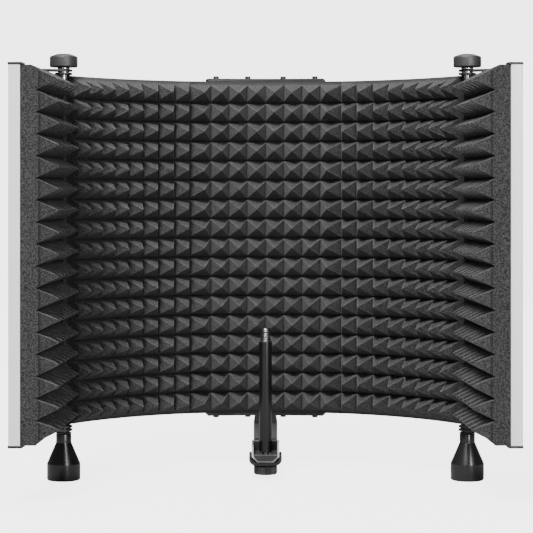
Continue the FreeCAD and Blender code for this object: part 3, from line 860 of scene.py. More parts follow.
@dataclass(frozen=True)
class PaintFinish:
    """Satin or powder paint on metal, rubbed through a little along its edges; on the rail the pale edges are
    a painted highlight, and on the clip bare cut metal with a painted highlight.
    """

    name: str
    slot: str
    color: Color
    worn: Color
    rough: Pair = (0.38, 0.55)
    fine: float = 900.0
    deep: float = 0.00008
    wear: float = 0.5
    edge_scale: float = 160.0
    coarse: float = 60.0
    contrast: float = 1.6
    tones: Pair = (0.72, 1.3)
    dust: float = 0.10
    dusty: Color = grey(0.22)
    relief: float = 0.5
    gloss: float = 0.45

    def material(self, effects: Effects) -> Material:
        """Mixes the material.

        Args:
            effects: The shared groups.

        Returns:
            The material.
        """
        work = Paintwork(self.name, effects)
        grain = work.grain(self.coarse, self.fine, self.contrast)
        darker, lighter = (tuple(tone * part for part in self.color) for tone in self.tones)
        base = work.mix(grain["Tone"], darker, lighter)
        # Pale edges: wear, and on the rail and clip a painted highlight.
        worn = work.mix(work.edge_mask(self.edge_scale, self.wear), base, self.worn)
        work.surface(work.dusted(worn, self.dust, self.dusty), grain["Tone"], self.rough)
        work.bump(grain["Height"], self.relief, self.deep)
        work.fixed(Specular_IOR_Level=self.gloss)
        return work.material


@dataclass(frozen=True)
class MouldedFinish(PaintFinish):
    """Moulded plastic or rubber: fine spark texture, scuffs and a little dust."""

    rough: Pair = (0.4, 0.58)
    fine: float = 1300.0
    deep: float = 0.00012
    wear: float = 0.35
    edge_scale: float = 120.0
    coarse: float = 80.0
    contrast: float = 2.0
    tones: Pair = (0.8, 1.0)
    dust: float = 0.14
    dusty: Color = grey(0.25)
    relief: float = 0.6
    gloss: float = 0.5


@dataclass(frozen=True)
class MetalFinish:
    """Bare or anodised metal with drawn lines and a soft tone change, painted shade in the thread's grooves,
    and painted shade below a height if one is given.
    """

    name: str
    slot: str
    color: Color
    dark: Color
    rough: Pair = (0.2, 0.35)
    across: float = 1400.0
    along: float = 9.0
    metallic: float = 1.0
    dark_below: float | None = None
    grain: Point = (35.0, 700.0, 1.2)
    wear: Pair = (90.0, 0.6)
    relief: Pair = (0.25, 0.00004)
    dirt: Color = grey(0.03)
    unlit: Color = grey(0.05, 0.052)
    bare: Color = grey(0.95, 0.96)

    def material(self, effects: Effects) -> Material:
        """Mixes the material.

        Args:
            effects: The shared groups.

        Returns:
            The material.
        """
        work = Paintwork(self.name, effects)
        lines = work.effect(effects.brushed, {"Across": self.across, "Along": self.along}).outputs
        tone = work.grain(*self.grain)["Tone"]
        base = work.mix(lines["Tone"], self.dark, self.color)
        # Painted shade in the thread's grooves.
        base = work.mix(work.mark("groove"), base, self.dirt)
        # Painted shade: below this height the piece takes the unlit colour.
        if self.dark_below is not None:
            height = add_node(work.tree, "ShaderNodeSeparateXYZ", {0: work.place}).outputs["Z"]
            bright = spread(work.tree, height, (self.dark_below - MM, self.dark_below + MM))
            base = work.mix(bright, self.unlit, base)
        work.surface(work.mix(work.edge_mask(*self.wear), base, self.bare), tone, self.rough)
        work.bump(lines["Height"], *self.relief)
        work.fixed(Metallic=self.metallic)
        return work.material


class Coat(Enum):
    """Every finish on the shield."""

    FOAM = FoamFinish()
    PLATE = PaintFinish("powder_coat_plate", "shell", grey(0.030, 0.032), grey(0.16), (0.5, 0.7), 1400.0)
    BLACK_METAL = PaintFinish("satin_black_metal", "black_metal", grey(0.015, 0.016), grey(0.10))
    POST = PaintFinish(
        "gloss_post", "black_metal", grey(0.010, 0.011), grey(0.2), (0.11, 0.17), 700.0, 0.00003
    )
    # The clip's pale edges and cut faces are bare metal with a painted highlight.
    CLIP = PaintFinish(
        "clip_bare_edges", "black_metal", grey(0.016, 0.017), grey(0.62), (0.35, 0.5),
        deep=0.00006, wear=3.0, edge_scale=40.0,
    )
    # The rail's pale edges are a painted highlight.
    RAIL = PaintFinish(
        "rail_rubbed_edges", "black_metal", grey(0.020, 0.021), grey(0.45), (0.35, 0.5),
        deep=0.00006, wear=2.2, edge_scale=40.0,
    )
    GREY_BLOCK = PaintFinish("grey_block", "grey_block", grey(0.085, 0.088), grey(0.25))
    FASTENER = PaintFinish(
        "dark_zinc", "fastener_dark", grey(0.012, 0.013), grey(0.12), (0.3, 0.42), 1100.0, 0.00003, 0.3
    )
    STEEL = MetalFinish("bright_zinc", "bright_steel", grey(0.78, 0.80), grey(0.52, 0.54))
    THREAD = MetalFinish("zinc_thread", "bright_steel", grey(0.50, 0.51), grey(0.32, 0.33))
    # The washers low on the hinges are painted dark as painted shade.
    WASHER = MetalFinish(
        "washer_zinc", "bright_steel", grey(0.78, 0.80), grey(0.52, 0.54), dark_below=0.2
    )
    # Painted shade: the rod is painted dark where it shows between the foam slabs.
    ROD = MetalFinish(
        "blackened_rod", "bright_steel", grey(0.014, 0.015), grey(0.008, 0.009), (0.7, 0.85), metallic=0.0
    )
    PROFILE = MetalFinish(
        "satin_anodised", "silver_profile", grey(0.99), grey(0.92, 0.93), (0.42, 0.55), 1900.0, 5.0, 0.1
    )
    PLASTIC = MouldedFinish("moulded_black", "black_plastic", grey(0.044, 0.046), grey(0.12))
    CAP = MouldedFinish("moulded_cap", "black_plastic", grey(0.009, 0.010), grey(0.04))
    FOOT = MouldedFinish(
        "moulded_foot", "black_plastic", grey(0.014, 0.015), grey(0.05), (0.16, 0.28),
        deep=0.00003, gloss=0.6,
    )
    RUBBER = MouldedFinish(
        "foot_rubber", "rubber", grey(0.018), grey(0.05), (0.7, 0.9), 900.0, 0.0002, gloss=0.3
    )


@dataclass
class Workshop:
    """What every sub-assembly shares: the repeating trees, the effects and the mixed materials."""

    repeats: Repeats = field(default_factory=Repeats)
    effects: Effects = field(default_factory=Effects)
    mixed: dict[Coat, Material] = field(default_factory=dict)

    def paint(self, coat: Coat) -> Material:
        """Gives the coat's material, mixed the first time it is asked for.

        Args:
            coat: The finish.

        Returns:
            Its material.
        """
        if coat not in self.mixed:
            self.mixed[coat] = coat.value.material(self.effects)
        return self.mixed[coat]

    def finish(self, piece: Piece, coat: Coat, *nodes: str) -> Piece:
        """Dresses a new piece and puts it in the place of its CAD nodes.

        Args:
            piece: The finished mesh.
            coat: Its finish.
            nodes: The CAD nodes that it stands for, all on one body.

        Returns:
            The same piece.
        """
        piece.data.materials.clear()
        piece.data.materials.append(self.paint(coat))
        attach(piece, BODY_OF[nodes[0]])
        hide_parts(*nodes)
        log.info("%s: %d faces, on %s", piece.name, len(piece.data.polygons), BODY_OF[nodes[0]])
        return piece

    def soften(self, node: str, coat: Coat, width: float, cut_sheet: bool = False) -> Piece:
        """Replaces a CAD node by its copy with broken edges, and bare cut faces if asked."""
        return self.finish(softened(node, width, cut_sheet), coat, node)

    def turn(self, node: str, coat: Coat, axis: Pair, profile: Sequence[Point], **how: int) -> Piece:
        """Replaces a round CAD node by an outline turned about its axis, as lathed() takes it."""
        return self.finish(lathed(node + "_turned", profile, axis, **how), coat, node)

    def tiled(self, tile: Piece, counts: tuple[int, int], pitch: Pair, coat: Coat, name: str) -> Piece:
        """Repeats a tile over a flat field.

        Args:
            tile: One tile; it is used up.
            counts: Columns and rows.
            pitch: The columns' and the rows' pitch.
            coat: The field's finish.
            name: The field's name.

        Returns:
            The flat field, its middle on the origin.
        """
        values = {
            "Columns": counts[0], "Rows": counts[1], "Column Pitch": pitch[0], "Row Pitch": pitch[1],
            "Material": self.paint(coat),
        }
        return self.repeats.run(tile, self.repeats.field, values, name)

    def flute(
        self, node: str, coat: Coat, axis: Pair, bore: float, count: int, deep: float, bevel: float
    ) -> Piece:
        """Replaces a round CAD node by one flute turned round its axis.

        Args:
            node: The CAD node.
            coat: Its finish.
            axis: The axis's x and y.
            bore: Radius of the hole, or 0 for a knob closed on its axis.
            count: Flutes in the whole turn.
            deep: How far a flute is cut in.
            bevel: How far the rims are broken.

        Returns:
            The new piece.
        """
        source = fluted_sector(extent(node), bore, count, deep, bevel)
        values = {"Count": count, "Material": self.paint(coat)}
        piece = self.repeats.run(source, self.repeats.round, values, node + "_fluted")
        for vert in piece.data.vertices:
            vert.co.x += axis[0]
            vert.co.y += axis[1]
        piece.data.update()
        return self.finish(smooth(reworked(piece, face_outwards), 28.0), coat, node)

    def dress(self, node: str, coat: Coat) -> None:
        """Gives a CAD node that stays as it is a finished material.

        Args:
            node: The CAD node.
            coat: Its finish.
        """
        kept = frame["nodes"][node]
        for spot in kept.material_slots:
            spot.link = "OBJECT"
            spot.material = self.paint(coat)
        log.info("%s: kept, %s", node, coat.name.lower())


# ---- plan of the panels ----


@dataclass(frozen=True)
class CurvedPlan:
    """A panel bent on an arc. Its position runs along the plate's front face, clockwise from above."""

    radius: float
    centre: Pair
    zero_angle: float = 0.0
    mirror: int = 1

    def place(self, along: np.ndarray, ahead: np.ndarray, height: np.ndarray) -> np.ndarray:
        """Frame coordinates of points of the panel.

        Args:
            along: Arc position in metres.
            ahead: Depth in front of the plate's front face.
            height: Height above the table.

        Returns:
            One row of x, y, z for each point.
        """
        angle = self.zero_angle + along / self.radius
        reach = self.radius - ahead
        x = self.mirror * (self.centre[0] + reach * np.sin(angle))
        return np.stack([x, self.centre[1] + reach * np.cos(angle), height], axis=1)


@dataclass(frozen=True)
class FlatPlan:
    """A flat wing. Its position runs from the hinge end towards the front."""

    origin: Pair
    splay: float
    mirror: int = 1

    def at(self, out: float, along: float) -> Pair:
        """Finds points of the wing in plan.

        Args:
            out: How far behind the plate's front face.
            along: How far from the hinge end.

        Returns:
            The x and y in the frame.
        """
        x = self.origin[0] + out * math.cos(self.splay) + along * math.sin(self.splay)
        y = self.origin[1] + out * math.sin(self.splay) - along * math.cos(self.splay)
        return self.mirror * x, y

    def place(self, along: np.ndarray, ahead: np.ndarray, height: np.ndarray) -> np.ndarray:
        """Frame coordinates of points of the wing, with the same arguments as a curved panel's."""
        return np.stack([*self.at(-ahead, along), height], axis=1)


Plan = CurvedPlan | FlatPlan


@dataclass(frozen=True)
class Layout:
    """Where the five panels stand, taken from the frame's boxes and the panels' radii."""

    mid_radius: float = 330 * MM
    side_radius: float = 225 * MM
    plate_thick: float = 1.2 * MM
    side_start: float = math.radians(20.8)
    side_near: Pair = (80.2 * MM, 10.2 * MM)
    wing_near: Pair = (199.9 * MM, 110 * MM)
    wing_splay: float = math.radians(2.6)

    @property
    def low(self) -> float:
        """Height of the panels' lower edge."""
        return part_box("back_plate_center")[0][2]

    @property
    def high(self) -> float:
        """Height of the panels' upper edge."""
        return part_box("back_plate_center")[1][2]

    @property
    def front(self) -> float:
        """Y of the middle plate's front face at its centre line."""
        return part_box("back_plate_center")[1][1] - self.plate_thick

    def middle(self) -> CurvedPlan:
        """The middle panel, its position 0 on the centre line."""
        return CurvedPlan(self.mid_radius, (0.0, self.front - self.mid_radius))

    def side(self, side: Side, start: float) -> CurvedPlan:
        """Places a side panel.

        Args:
            side: Which side.
            start: The angle of its position 0.

        Returns:
            The panel's plan.
        """
        centre = (
            self.side_near[0] - self.side_radius * math.sin(self.side_start),
            self.front - self.side_near[1] - self.side_radius * math.cos(self.side_start),
        )
        return CurvedPlan(self.side_radius, centre, start, side.value)

    def wing(self, side: Side) -> FlatPlan:
        """A wing, its position 0 at the hinge end."""
        return FlatPlan((self.wing_near[0], self.front - self.wing_near[1]), self.wing_splay, side.value)
@dataclass
class Assembly:
    """A group of pieces, built with the shared workshop on the panels' layout."""

    shop: Workshop
    layout: Layout

    def build(self) -> None:
        """Makes and dresses the group's pieces."""
        raise NotImplementedError

    def lay(self, piece: Piece, plan: Plan, shift: float) -> None:
        """Moves a flat mesh, drawn with x along, y up and z ahead, on to its panel.

        Args:
            piece: The flat mesh, its y = 0 halfway up the panel.
            plan: The panel's plan.
            shift: What is added to its x to give the plan's position.
        """
        mesh = piece.data
        flat = np.empty(len(mesh.vertices) * 3)
        mesh.vertices.foreach_get("co", flat)
        along, up, ahead = flat.reshape(-1, 3).T
        placed = plan.place(along + shift, ahead, up + (self.layout.low + self.layout.high) / 2)
        mesh.vertices.foreach_set("co", placed.reshape(-1))
        if plan.mirror < 0:
            reworked(piece, turn_over)
        mesh.update()


# ---- foam ----


@dataclass(frozen=True)
class PyramidTile:
    """One pyramid of the foam, blunt at its tip and soft along its ridges."""

    pitch: float = 18.53 * MM
    tip: float = 32.5 * MM
    column_valley: float = 15.5 * MM
    row_valley: float = 13.0 * MM
    cap: float = 0.085
    ridge: float = 0.045
    tip_rise: float = 0.6 * MM

    def height(self, across: float, up: float) -> float:
        """Finds the foam's depth on the tile.

        Args:
            across: The place across the tile, from -1 to 1.
            up: The place up the tile, from -1 to 1.

        Returns:
            The depth there.
        """
        return min(
            self.tip - (self.tip - self.column_valley) * abs(across),
            self.tip - (self.tip - self.row_valley) * abs(up),
        )

    def build(self) -> Piece:
        """Makes the tile with its own map of places, "tile".

        Returns:
            The open tile, facing +Z.
        """
        lean = (self.tip - self.column_valley) / (self.tip - self.row_valley)
        kinds = {
            "a": (self.cap, lean * self.cap - self.ridge * 0.5),
            "b": (self.cap - self.ridge * 0.5 / lean, lean * self.cap),
            "c": (1.0, lean - self.ridge),
            "d": (1.0, lean + self.ridge),
            "e": (1.0, 1.0),
        }
        spots: list[Pair] = [(0.0, 0.0)]
        number: dict[tuple[str, int, int], int] = {}
        for kind, (across, up) in kinds.items():
            for over in (-1, 1):
                for above in (-1, 1):
                    number[kind, over, above] = len(spots)
                    spots.append((over * across, above * up))
        flat_top = self.tip - (self.tip - self.column_valley) * self.cap
        corners = []
        for i, (across, up) in enumerate(spots):
            depth = min(flat_top, self.height(across, up))
            corners.append(
                (across * self.pitch / 2, up * self.pitch / 2, depth if i else flat_top + self.tip_rise)
            )
        ring = ["a+-", "a++", "b++", "b-+", "a-+", "a--", "b--", "b+-"]
        loops = [["centre", ring[i], ring[(i + 1) % 8]] for i in range(8)]
        loops += [
            ["a+-", "c+-", "c++", "a++"], ["a-+", "c-+", "c--", "a--"],
            ["b++", "d++", "e++", "e-+", "d-+", "b-+"], ["b--", "d--", "e--", "e+-", "d+-", "b+-"],
            ["a++", "c++", "d++", "b++"], ["b-+", "d-+", "c-+", "a-+"],
            ["a--", "c--", "d--", "b--"], ["b+-", "d+-", "c+-", "a+-"],
        ]

        def index(word: str) -> int:
            """The corner's number from its kind and its two signs.

            Args:
                word: The kind and the two signs.

            Returns:
                The number.
            """
            if word == "centre":
                return 0
            return number[word[0], 1 if word[1] == "+" else -1, 1 if word[2] == "+" else -1]

        tile = mesh_object("pyramid_tile", corners, [[index(word) for word in loop] for loop in loops])
        layer = tile.data.uv_layers.new(name="tile")
        for loop in tile.data.loops:
            layer.data[loop.index].uv = spots[loop.vertex_index]
        return tile


@dataclass(frozen=True)
class FoamSlab:
    """How much of the pyramid field one slab takes, in its own flat place."""

    node: str
    plan: Plan
    first_edge: float
    cut_from: float | None = None
    cut_to: float | None = None
    stretched_to: float | None = None
    leaning: float = 0.0
    low_depth: float | None = None


@dataclass
class FoamWall(Assembly):
    """The five foam slabs."""

    tile: PyramidTile = field(default_factory=PyramidTile)
    columns: int = 8
    rows: int = 17
    back: float = 0.1 * MM
    edge_depth: float = 9.5 * MM
    outer_depth: float = 12.5 * MM
    unevenness: float = 0.14 * MM
    seed: int = 11
    mid_half: float = 77.4 * MM
    side_from: float = math.radians(22.1)
    side_to: float = math.radians(56.7)
    side_lean: float = 0.41
    wing_from: float = 2.5 * MM
    wing_to: float = 136.7 * MM
    ridge_turn: float = 8.0
    off_tile: Pair = (0.0, 3.0)

    def slabs(self) -> Iterable[FoamSlab]:
        """Lists the five slabs, each with its plan and its cuts.

        Returns:
            The slabs, one by one.
        """
        pitch, layout = self.tile.pitch, self.layout
        half = self.columns * pitch / 2
        yield FoamSlab("foam_center", layout.middle(), -half, stretched_to=self.mid_half)
        arc = (self.side_to - self.side_from) * layout.side_radius
        for side in Side:
            plan = layout.side(side, self.side_from)
            yield FoamSlab("foam_side_" + side.word, plan, -pitch / 2, 0.0, arc, leaning=self.side_lean)
        first = self.wing_to - self.columns * pitch
        for side in Side:
            yield FoamSlab(
                "foam_wing_" + side.word, layout.wing(side), first, self.wing_from,
                low_depth=self.tile.row_valley,
            )

    def build(self) -> None:
        """Makes and dresses every slab."""
        for slab in self.slabs():
            piece = self.slab_mesh(slab)
            self.shop.finish(piece, Coat.FOAM, slab.node)

    def slab_mesh(self, slab: FoamSlab) -> Piece:
        """One slab: the pyramid field, trimmed, closed behind and bent to its panel.

        Args:
            slab: What the slab takes.

        Returns:
            The closed slab.
        """
        pitch = self.tile.pitch
        piece = self.shop.tiled(
            self.tile.build(), (self.columns, self.rows), (pitch, pitch), Coat.FOAM,
            slab.node + "_pyramids",
        )
        shift = slab.first_edge + self.columns * pitch / 2
        reworked(piece, lambda work: self.trim(work, slab, shift))
        reworked(piece, self.close)
        reworked(piece, lambda work: self.lean(work, slab, shift))
        self.lay(piece, slab.plan, shift)
        reworked(piece, face_outwards)
        return smooth(piece, self.ridge_turn)

    def trim(self, work: Shape, slab: FoamSlab, shift: float) -> None:
        """Cuts the field to its slab and runs its outer faces on to the slab's edges.

        Args:
            work: The flat field.
            slab: What the slab takes.
            shift: Its place along the panel of the field's x = 0.
        """
        for place, way in ((slab.cut_from, -1), (slab.cut_to, 1)):
            if place is not None:
                bmesh.ops.bisect_plane(
                    work, geom=work.verts[:] + work.edges[:] + work.faces[:], dist=SAME_SPOT,
                    plane_co=(place - shift, 0, 0), plane_no=(way, 0, 0), clear_outer=True,
                )
        field_half = self.rows * self.tile.pitch / 2 - MERGE
        slab_half = (self.layout.high - self.layout.low) / 2
        rng = np.random.default_rng(self.seed + len(slab.node))
        field_side = self.columns * self.tile.pitch / 2 - MERGE
        ends = (min(v.co.x for v in work.verts), max(v.co.x for v in work.verts))
        for vert in work.verts:
            x, y, _ = vert.co
            if abs(y) > field_half:
                vert.co.y = math.copysign(slab_half, y)
                vert.co.z = slab.low_depth if slab.low_depth and y < 0 else self.edge_depth
            if slab.stretched_to and abs(x) > field_side:
                vert.co.x = math.copysign(slab.stretched_to, x)
                vert.co.z = min(vert.co.z, self.outer_depth)
            inside = ends[0] + SAME_SPOT < x < ends[1] - SAME_SPOT and abs(y) < field_half
            shake = rng.normal(0.0, self.unevenness, 3)
            if inside:
                vert.co.x += shake[0]
                vert.co.y += shake[1]
                vert.co.z += shake[2] - self.unevenness

    def lean(self, work: Shape, slab: FoamSlab, shift: float) -> None:
        """Leans the slab's first cut towards the middle of the shield, from the tips to the back.

        Args:
            work: The closed flat slab.
            slab: What the slab takes.
            shift: Its place along the panel of the field's x = 0.
        """
        if not slab.leaning or slab.cut_from is None:
            return
        for vert in work.verts:
            if abs(vert.co.x - (slab.cut_from - shift)) < NEAR:
                vert.co.x -= slab.leaning * (self.tile.tip - vert.co.z)

    def close(self, work: Shape) -> None:
        """Gives the field its edges and a back of full-height strips.

        Args:
            work: The trimmed flat field.
        """
        fresh = bmesh.ops.extrude_edge_only(work, edges=[e for e in work.edges if e.is_boundary])
        rim = [g for g in fresh["geom"] if isinstance(g, bmesh.types.BMVert)]
        made = [g for g in fresh["geom"] if isinstance(g, bmesh.types.BMFace)]
        for vert in rim:
            vert.co.z = self.back
        left, right = min(v.co.x for v in rim), max(v.co.x for v in rim)
        lower, upper = min(v.co.y for v in rim), max(v.co.y for v in rim)
        bottoms = sorted((v for v in rim if v.co.y < lower + NEAR), key=lambda v: v.co.x)
        tops = sorted((v for v in rim if v.co.y > upper - NEAR), key=lambda v: v.co.x)
        between = [v for v in rim if lower + NEAR < v.co.y < upper - NEAR]
        rising = sorted((v for v in between if v.co.x < left + NEAR), key=lambda v: v.co.y)
        falling = sorted((v for v in between if v.co.x > right - NEAR), key=lambda v: -v.co.y)
        last = len(bottoms) - 2
        for i in range(last + 1):
            loop = [bottoms[i], *(rising if i == 0 else []), tops[i], tops[i + 1]]
            loop += [*(falling if i == last else []), bottoms[i + 1]]
            made.append(work.faces.new(loop))
        layer = work.loops.layers.uv["tile"]
        for face in made:
            for loop in face.loops:
                loop[layer].uv = self.off_tile
        split_large(work)


# ---- perforated plates ----


@dataclass
class BackPlates(Assembly):
    """The five perforated steel plates behind the foam."""

    pitch: float = 8.9 * MM
    hole: float = 2.75 * MM
    margin: float = 4.0 * MM
    mid_half: float = math.radians(13.8)
    side_end: float = math.radians(57.47)
    wing_long: float = 135.3 * MM
    sides: int = 8

    def build(self) -> None:
        """Makes and dresses every plate."""
        layout = self.layout
        half = self.mid_half * layout.mid_radius
        self.plate("back_plate_center", layout.middle(), -half, half)
        arc = (self.side_end - layout.side_start) * layout.side_radius
        for side in Side:
            plan = layout.side(side, layout.side_start)
            self.plate("back_plate_side_" + side.word, plan, 0.0, arc)
            self.plate("back_plate_wing_" + side.word, layout.wing(side), 0.0, self.wing_long)

    def tile(self, across: float, up: float) -> Piece:
        """One hole's square of the plate, both faces and the hole's wall.

        Args:
            across: The square's width.
            up: Its height.

        Returns:
            The tile, open round its outside.
        """
        corners = []
        turns = [2 * math.pi * turn / self.sides for turn in range(self.sides)]
        # Rounding 1.2 times a sine or cosine gives -1, 0 or 1: the square's corners and edge middles.
        for depth in (0.0, -self.layout.plate_thick):
            for angle in turns:
                x, y = round(math.cos(angle) * 1.2), round(math.sin(angle) * 1.2)
                corners.append((x * across / 2, y * up / 2, depth))
            corners += [(self.hole * math.cos(angle), self.hole * math.sin(angle), depth) for angle in turns]
        faces = []
        for i in range(self.sides):
            j = (i + 1) % self.sides
            front_out, front_in, back_out, back_in = (
                (ring * self.sides + i, ring * self.sides + j) for ring in range(4)
            )
            faces.append([*front_out, *front_in[::-1]])
            faces.append([*back_out[::-1], *back_in])
            faces.append([*front_in, *back_in[::-1]])
        return mesh_object("plate_tile", corners, faces)

    def plate(self, node: str, plan: Plan, start: float, stop: float) -> None:
        """Makes one plate.

        Args:
            node: The CAD node it stands for.
            plan: Its plan.
            start: Where it starts along the plan.
            stop: Where it stops.
        """
        sizes = (stop - start, self.layout.high - self.layout.low)
        inner = [size - 2 * self.margin for size in sizes]
        counts = [round(size / self.pitch) for size in inner]
        pitch = [size / count for size, count in zip(inner, counts)]
        piece = self.shop.tiled(self.tile(*pitch), counts, pitch, Coat.PLATE, node + "_perforated")
        half_thick = self.layout.plate_thick / 2

        def spot(vert: bmesh.types.BMVert) -> Pair:
            """The place of a rim point seen from the front."""
            return round(vert.co.x, 6), round(vert.co.y, 6)

        def close(work: Shape) -> None:
            """Runs the outer faces on to the plate's edges and walls them.

            Args:
                work: The flat field.
            """
            for vert in work.verts:
                for way, size in enumerate(sizes):
                    if abs(vert.co[way]) > size / 2 - self.margin - MERGE:
                        vert.co[way] = math.copysign(size / 2, vert.co[way])
            rim = [e for e in work.edges if e.is_boundary]
            behind = {spot(v): v for e in rim for v in e.verts if v.co.z < -half_thick}
            for edge in rim:
                first, second = edge.verts
                if first.co.z > -half_thick:
                    work.faces.new([first, second, behind[spot(second)], behind[spot(first)]])
            face_outwards(work)

        reworked(piece, close)
        self.lay(piece, plan, (start + stop) / 2)
        self.shop.finish(smooth(piece, 30.0), Coat.PLATE, node)


# ---- fasteners ----


@dataclass
class Fasteners(Assembly):
    """Domed rivets on the strips and posts, and socket-head screws in the brackets."""

    rivet_radius: float = 2.6 * MM
    rivet_tall: float = 1.1 * MM
    rivet_edge: float = 0.12 * MM
    rivet_segments: int = 14
    screw_radius: float = 2.75 * MM
    screw_tall: float = 2.9 * MM
    screw_bevel: float = 0.15 * MM
    shank_radius: float = 1.5 * MM
    shank_long: float = 4.8 * MM
    socket: float = 1.35 * MM
    socket_deep: float = 1.2 * MM

    def build(self) -> None:
        """Makes and dresses every group of fasteners."""
        for side in Side:
            for word in ("seam_rivets_", "wing_rivets_"):
                self.group(word + side.word, self.rivet(), self.rivet_spot)
        self.group("bracket_screws", self.screw(), self.screw_spot)

    def group(
        self, node: str, shape: Piece, spot: Callable[[np.ndarray], tuple[np.ndarray, np.ndarray]]
    ) -> None:
        """Stands a fastener on each of a node's solids.

        Args:
            node: The CAD node of the group.
            shape: One fastener, standing on the origin along +Z; it is used up.
            spot: Gives a solid's foot point and outward direction.
        """
        feet, ways = zip(*(spot(points) for points in islands(node)))
        spots = mesh_object(node + "_spots", feet, [])
        facing = spots.data.attributes.new("facing", "FLOAT_VECTOR", "POINT")
        facing.data.foreach_set("vector", np.array(ways).reshape(-1))
        values = {"Fastener": shape, "Material": self.shop.paint(Coat.FASTENER)}
        piece = self.shop.repeats.run(spots, self.shop.repeats.spots, values, node + "_heads")
        bpy.data.objects.remove(shape)
        self.shop.finish(smooth(piece), Coat.FASTENER, node)

    @staticmethod
    def rivet_spot(points: np.ndarray) -> tuple[np.ndarray, np.ndarray]:
        """Finds the middle of a rivet's wide foot, and the way to its narrow top.

        Args:
            points: The rivet's points.

        Returns:
            The foot and the way.
        """
        centre = points.mean(axis=0)
        _, _, axes = np.linalg.svd(points - centre)
        way = axes[2]
        along = (points - centre) @ way
        spread = np.linalg.norm(points - centre - np.outer(along, way), axis=1)
        if spread[along > 0].mean() > spread[along < 0].mean():
            way, along = -way, -along
        return centre + way * along.min(), way

    def screw_spot(self, points: np.ndarray) -> tuple[np.ndarray, np.ndarray]:
        """Finds the seat under a screw's head, and the way up through the head.

        Args:
            points: The screw's points.

        Returns:
            The seat and the way.
        """
        middle = (points.min(axis=0) + points.max(axis=0)) / 2
        wide = np.linalg.norm((points - middle)[:, :2], axis=1) > (self.shank_radius + self.screw_radius) / 2
        head = points[wide]
        way = np.array((0.0, 0.0, 1.0 if head[:, 2].mean() > middle[2] else -1.0))
        seat = head[:, 2].min() if way[2] > 0 else head[:, 2].max()
        return np.array((middle[0], middle[1], seat)), way

    def rivet(self) -> Piece:
        """One domed rivet head.

        Returns:
            The head, standing on the origin.
        """
        crown = (self.rivet_radius**2 + self.rivet_tall**2) / (2 * self.rivet_tall)
        profile = [(0.0, 0.0, 0.0), (self.rivet_radius, 0.0, 0.0)]
        steps = 4
        for step in range(steps + 1):
            radius = self.rivet_radius * (1 - step / steps)
            lift = math.sqrt(crown**2 - radius**2) - (crown - self.rivet_tall)
            profile.append((radius, max(lift, 0.0) + (0.0 if step else self.rivet_edge), 0.0))
        return lathed("rivet_head", profile, (0.0, 0.0), self.rivet_segments)

    def screw(self) -> Piece:
        """One screw: its shank below the seat, its head with a six-sided socket.

        Returns:
            The screw, its seat at the origin.
        """
        steps = 24
        wide, tall, sixth = self.screw_radius, self.screw_tall, math.pi / 3
        turns = [2 * math.pi * step / steps for step in range(steps)]
        levels = [
            (self.shank_radius, -self.shank_long), (self.shank_radius, 0.0), (wide, 0.0),
            (wide, tall - self.screw_bevel), (wide - self.screw_bevel, tall),
        ]
        outlines = [([radius] * steps, height) for radius, height in levels]
        six = [self.socket / math.cos(angle % sixth - sixth / 2) for angle in turns]
        outlines += [(six, tall), (six, tall - self.socket_deep)]
        corners = [
            (radius * math.cos(angle), radius * math.sin(angle), height)
            for radii, height in outlines for angle, radius in zip(turns, radii)
        ]
        rings = [list(range(k * steps, (k + 1) * steps)) for k in range(len(outlines))]
        faces = [
            [low[i], low[(i + 1) % steps], high[(i + 1) % steps], high[i]]
            for low, high in zip(rings, rings[1:])
            for i in range(steps)
        ]
        faces += [rings[0][::-1], rings[-1]]
        return reworked(mesh_object("socket_screw", corners, faces), face_outwards)


# ---- hard parts ----


@dataclass
class CentreMount(Assembly):
    """The bars and brackets in the middle, and the seam strips beside them."""

    broken: float = 0.2 * MM

    def build(self) -> None:
        """Softens and dresses the bars, brackets and strips."""
        strips = ["seam_strip_" + side.word for side in Side]
        for node in ("top_bar", "bottom_bar", "top_bracket", "bottom_bracket", *strips):
            self.shop.soften(node, Coat.BLACK_METAL, self.broken)


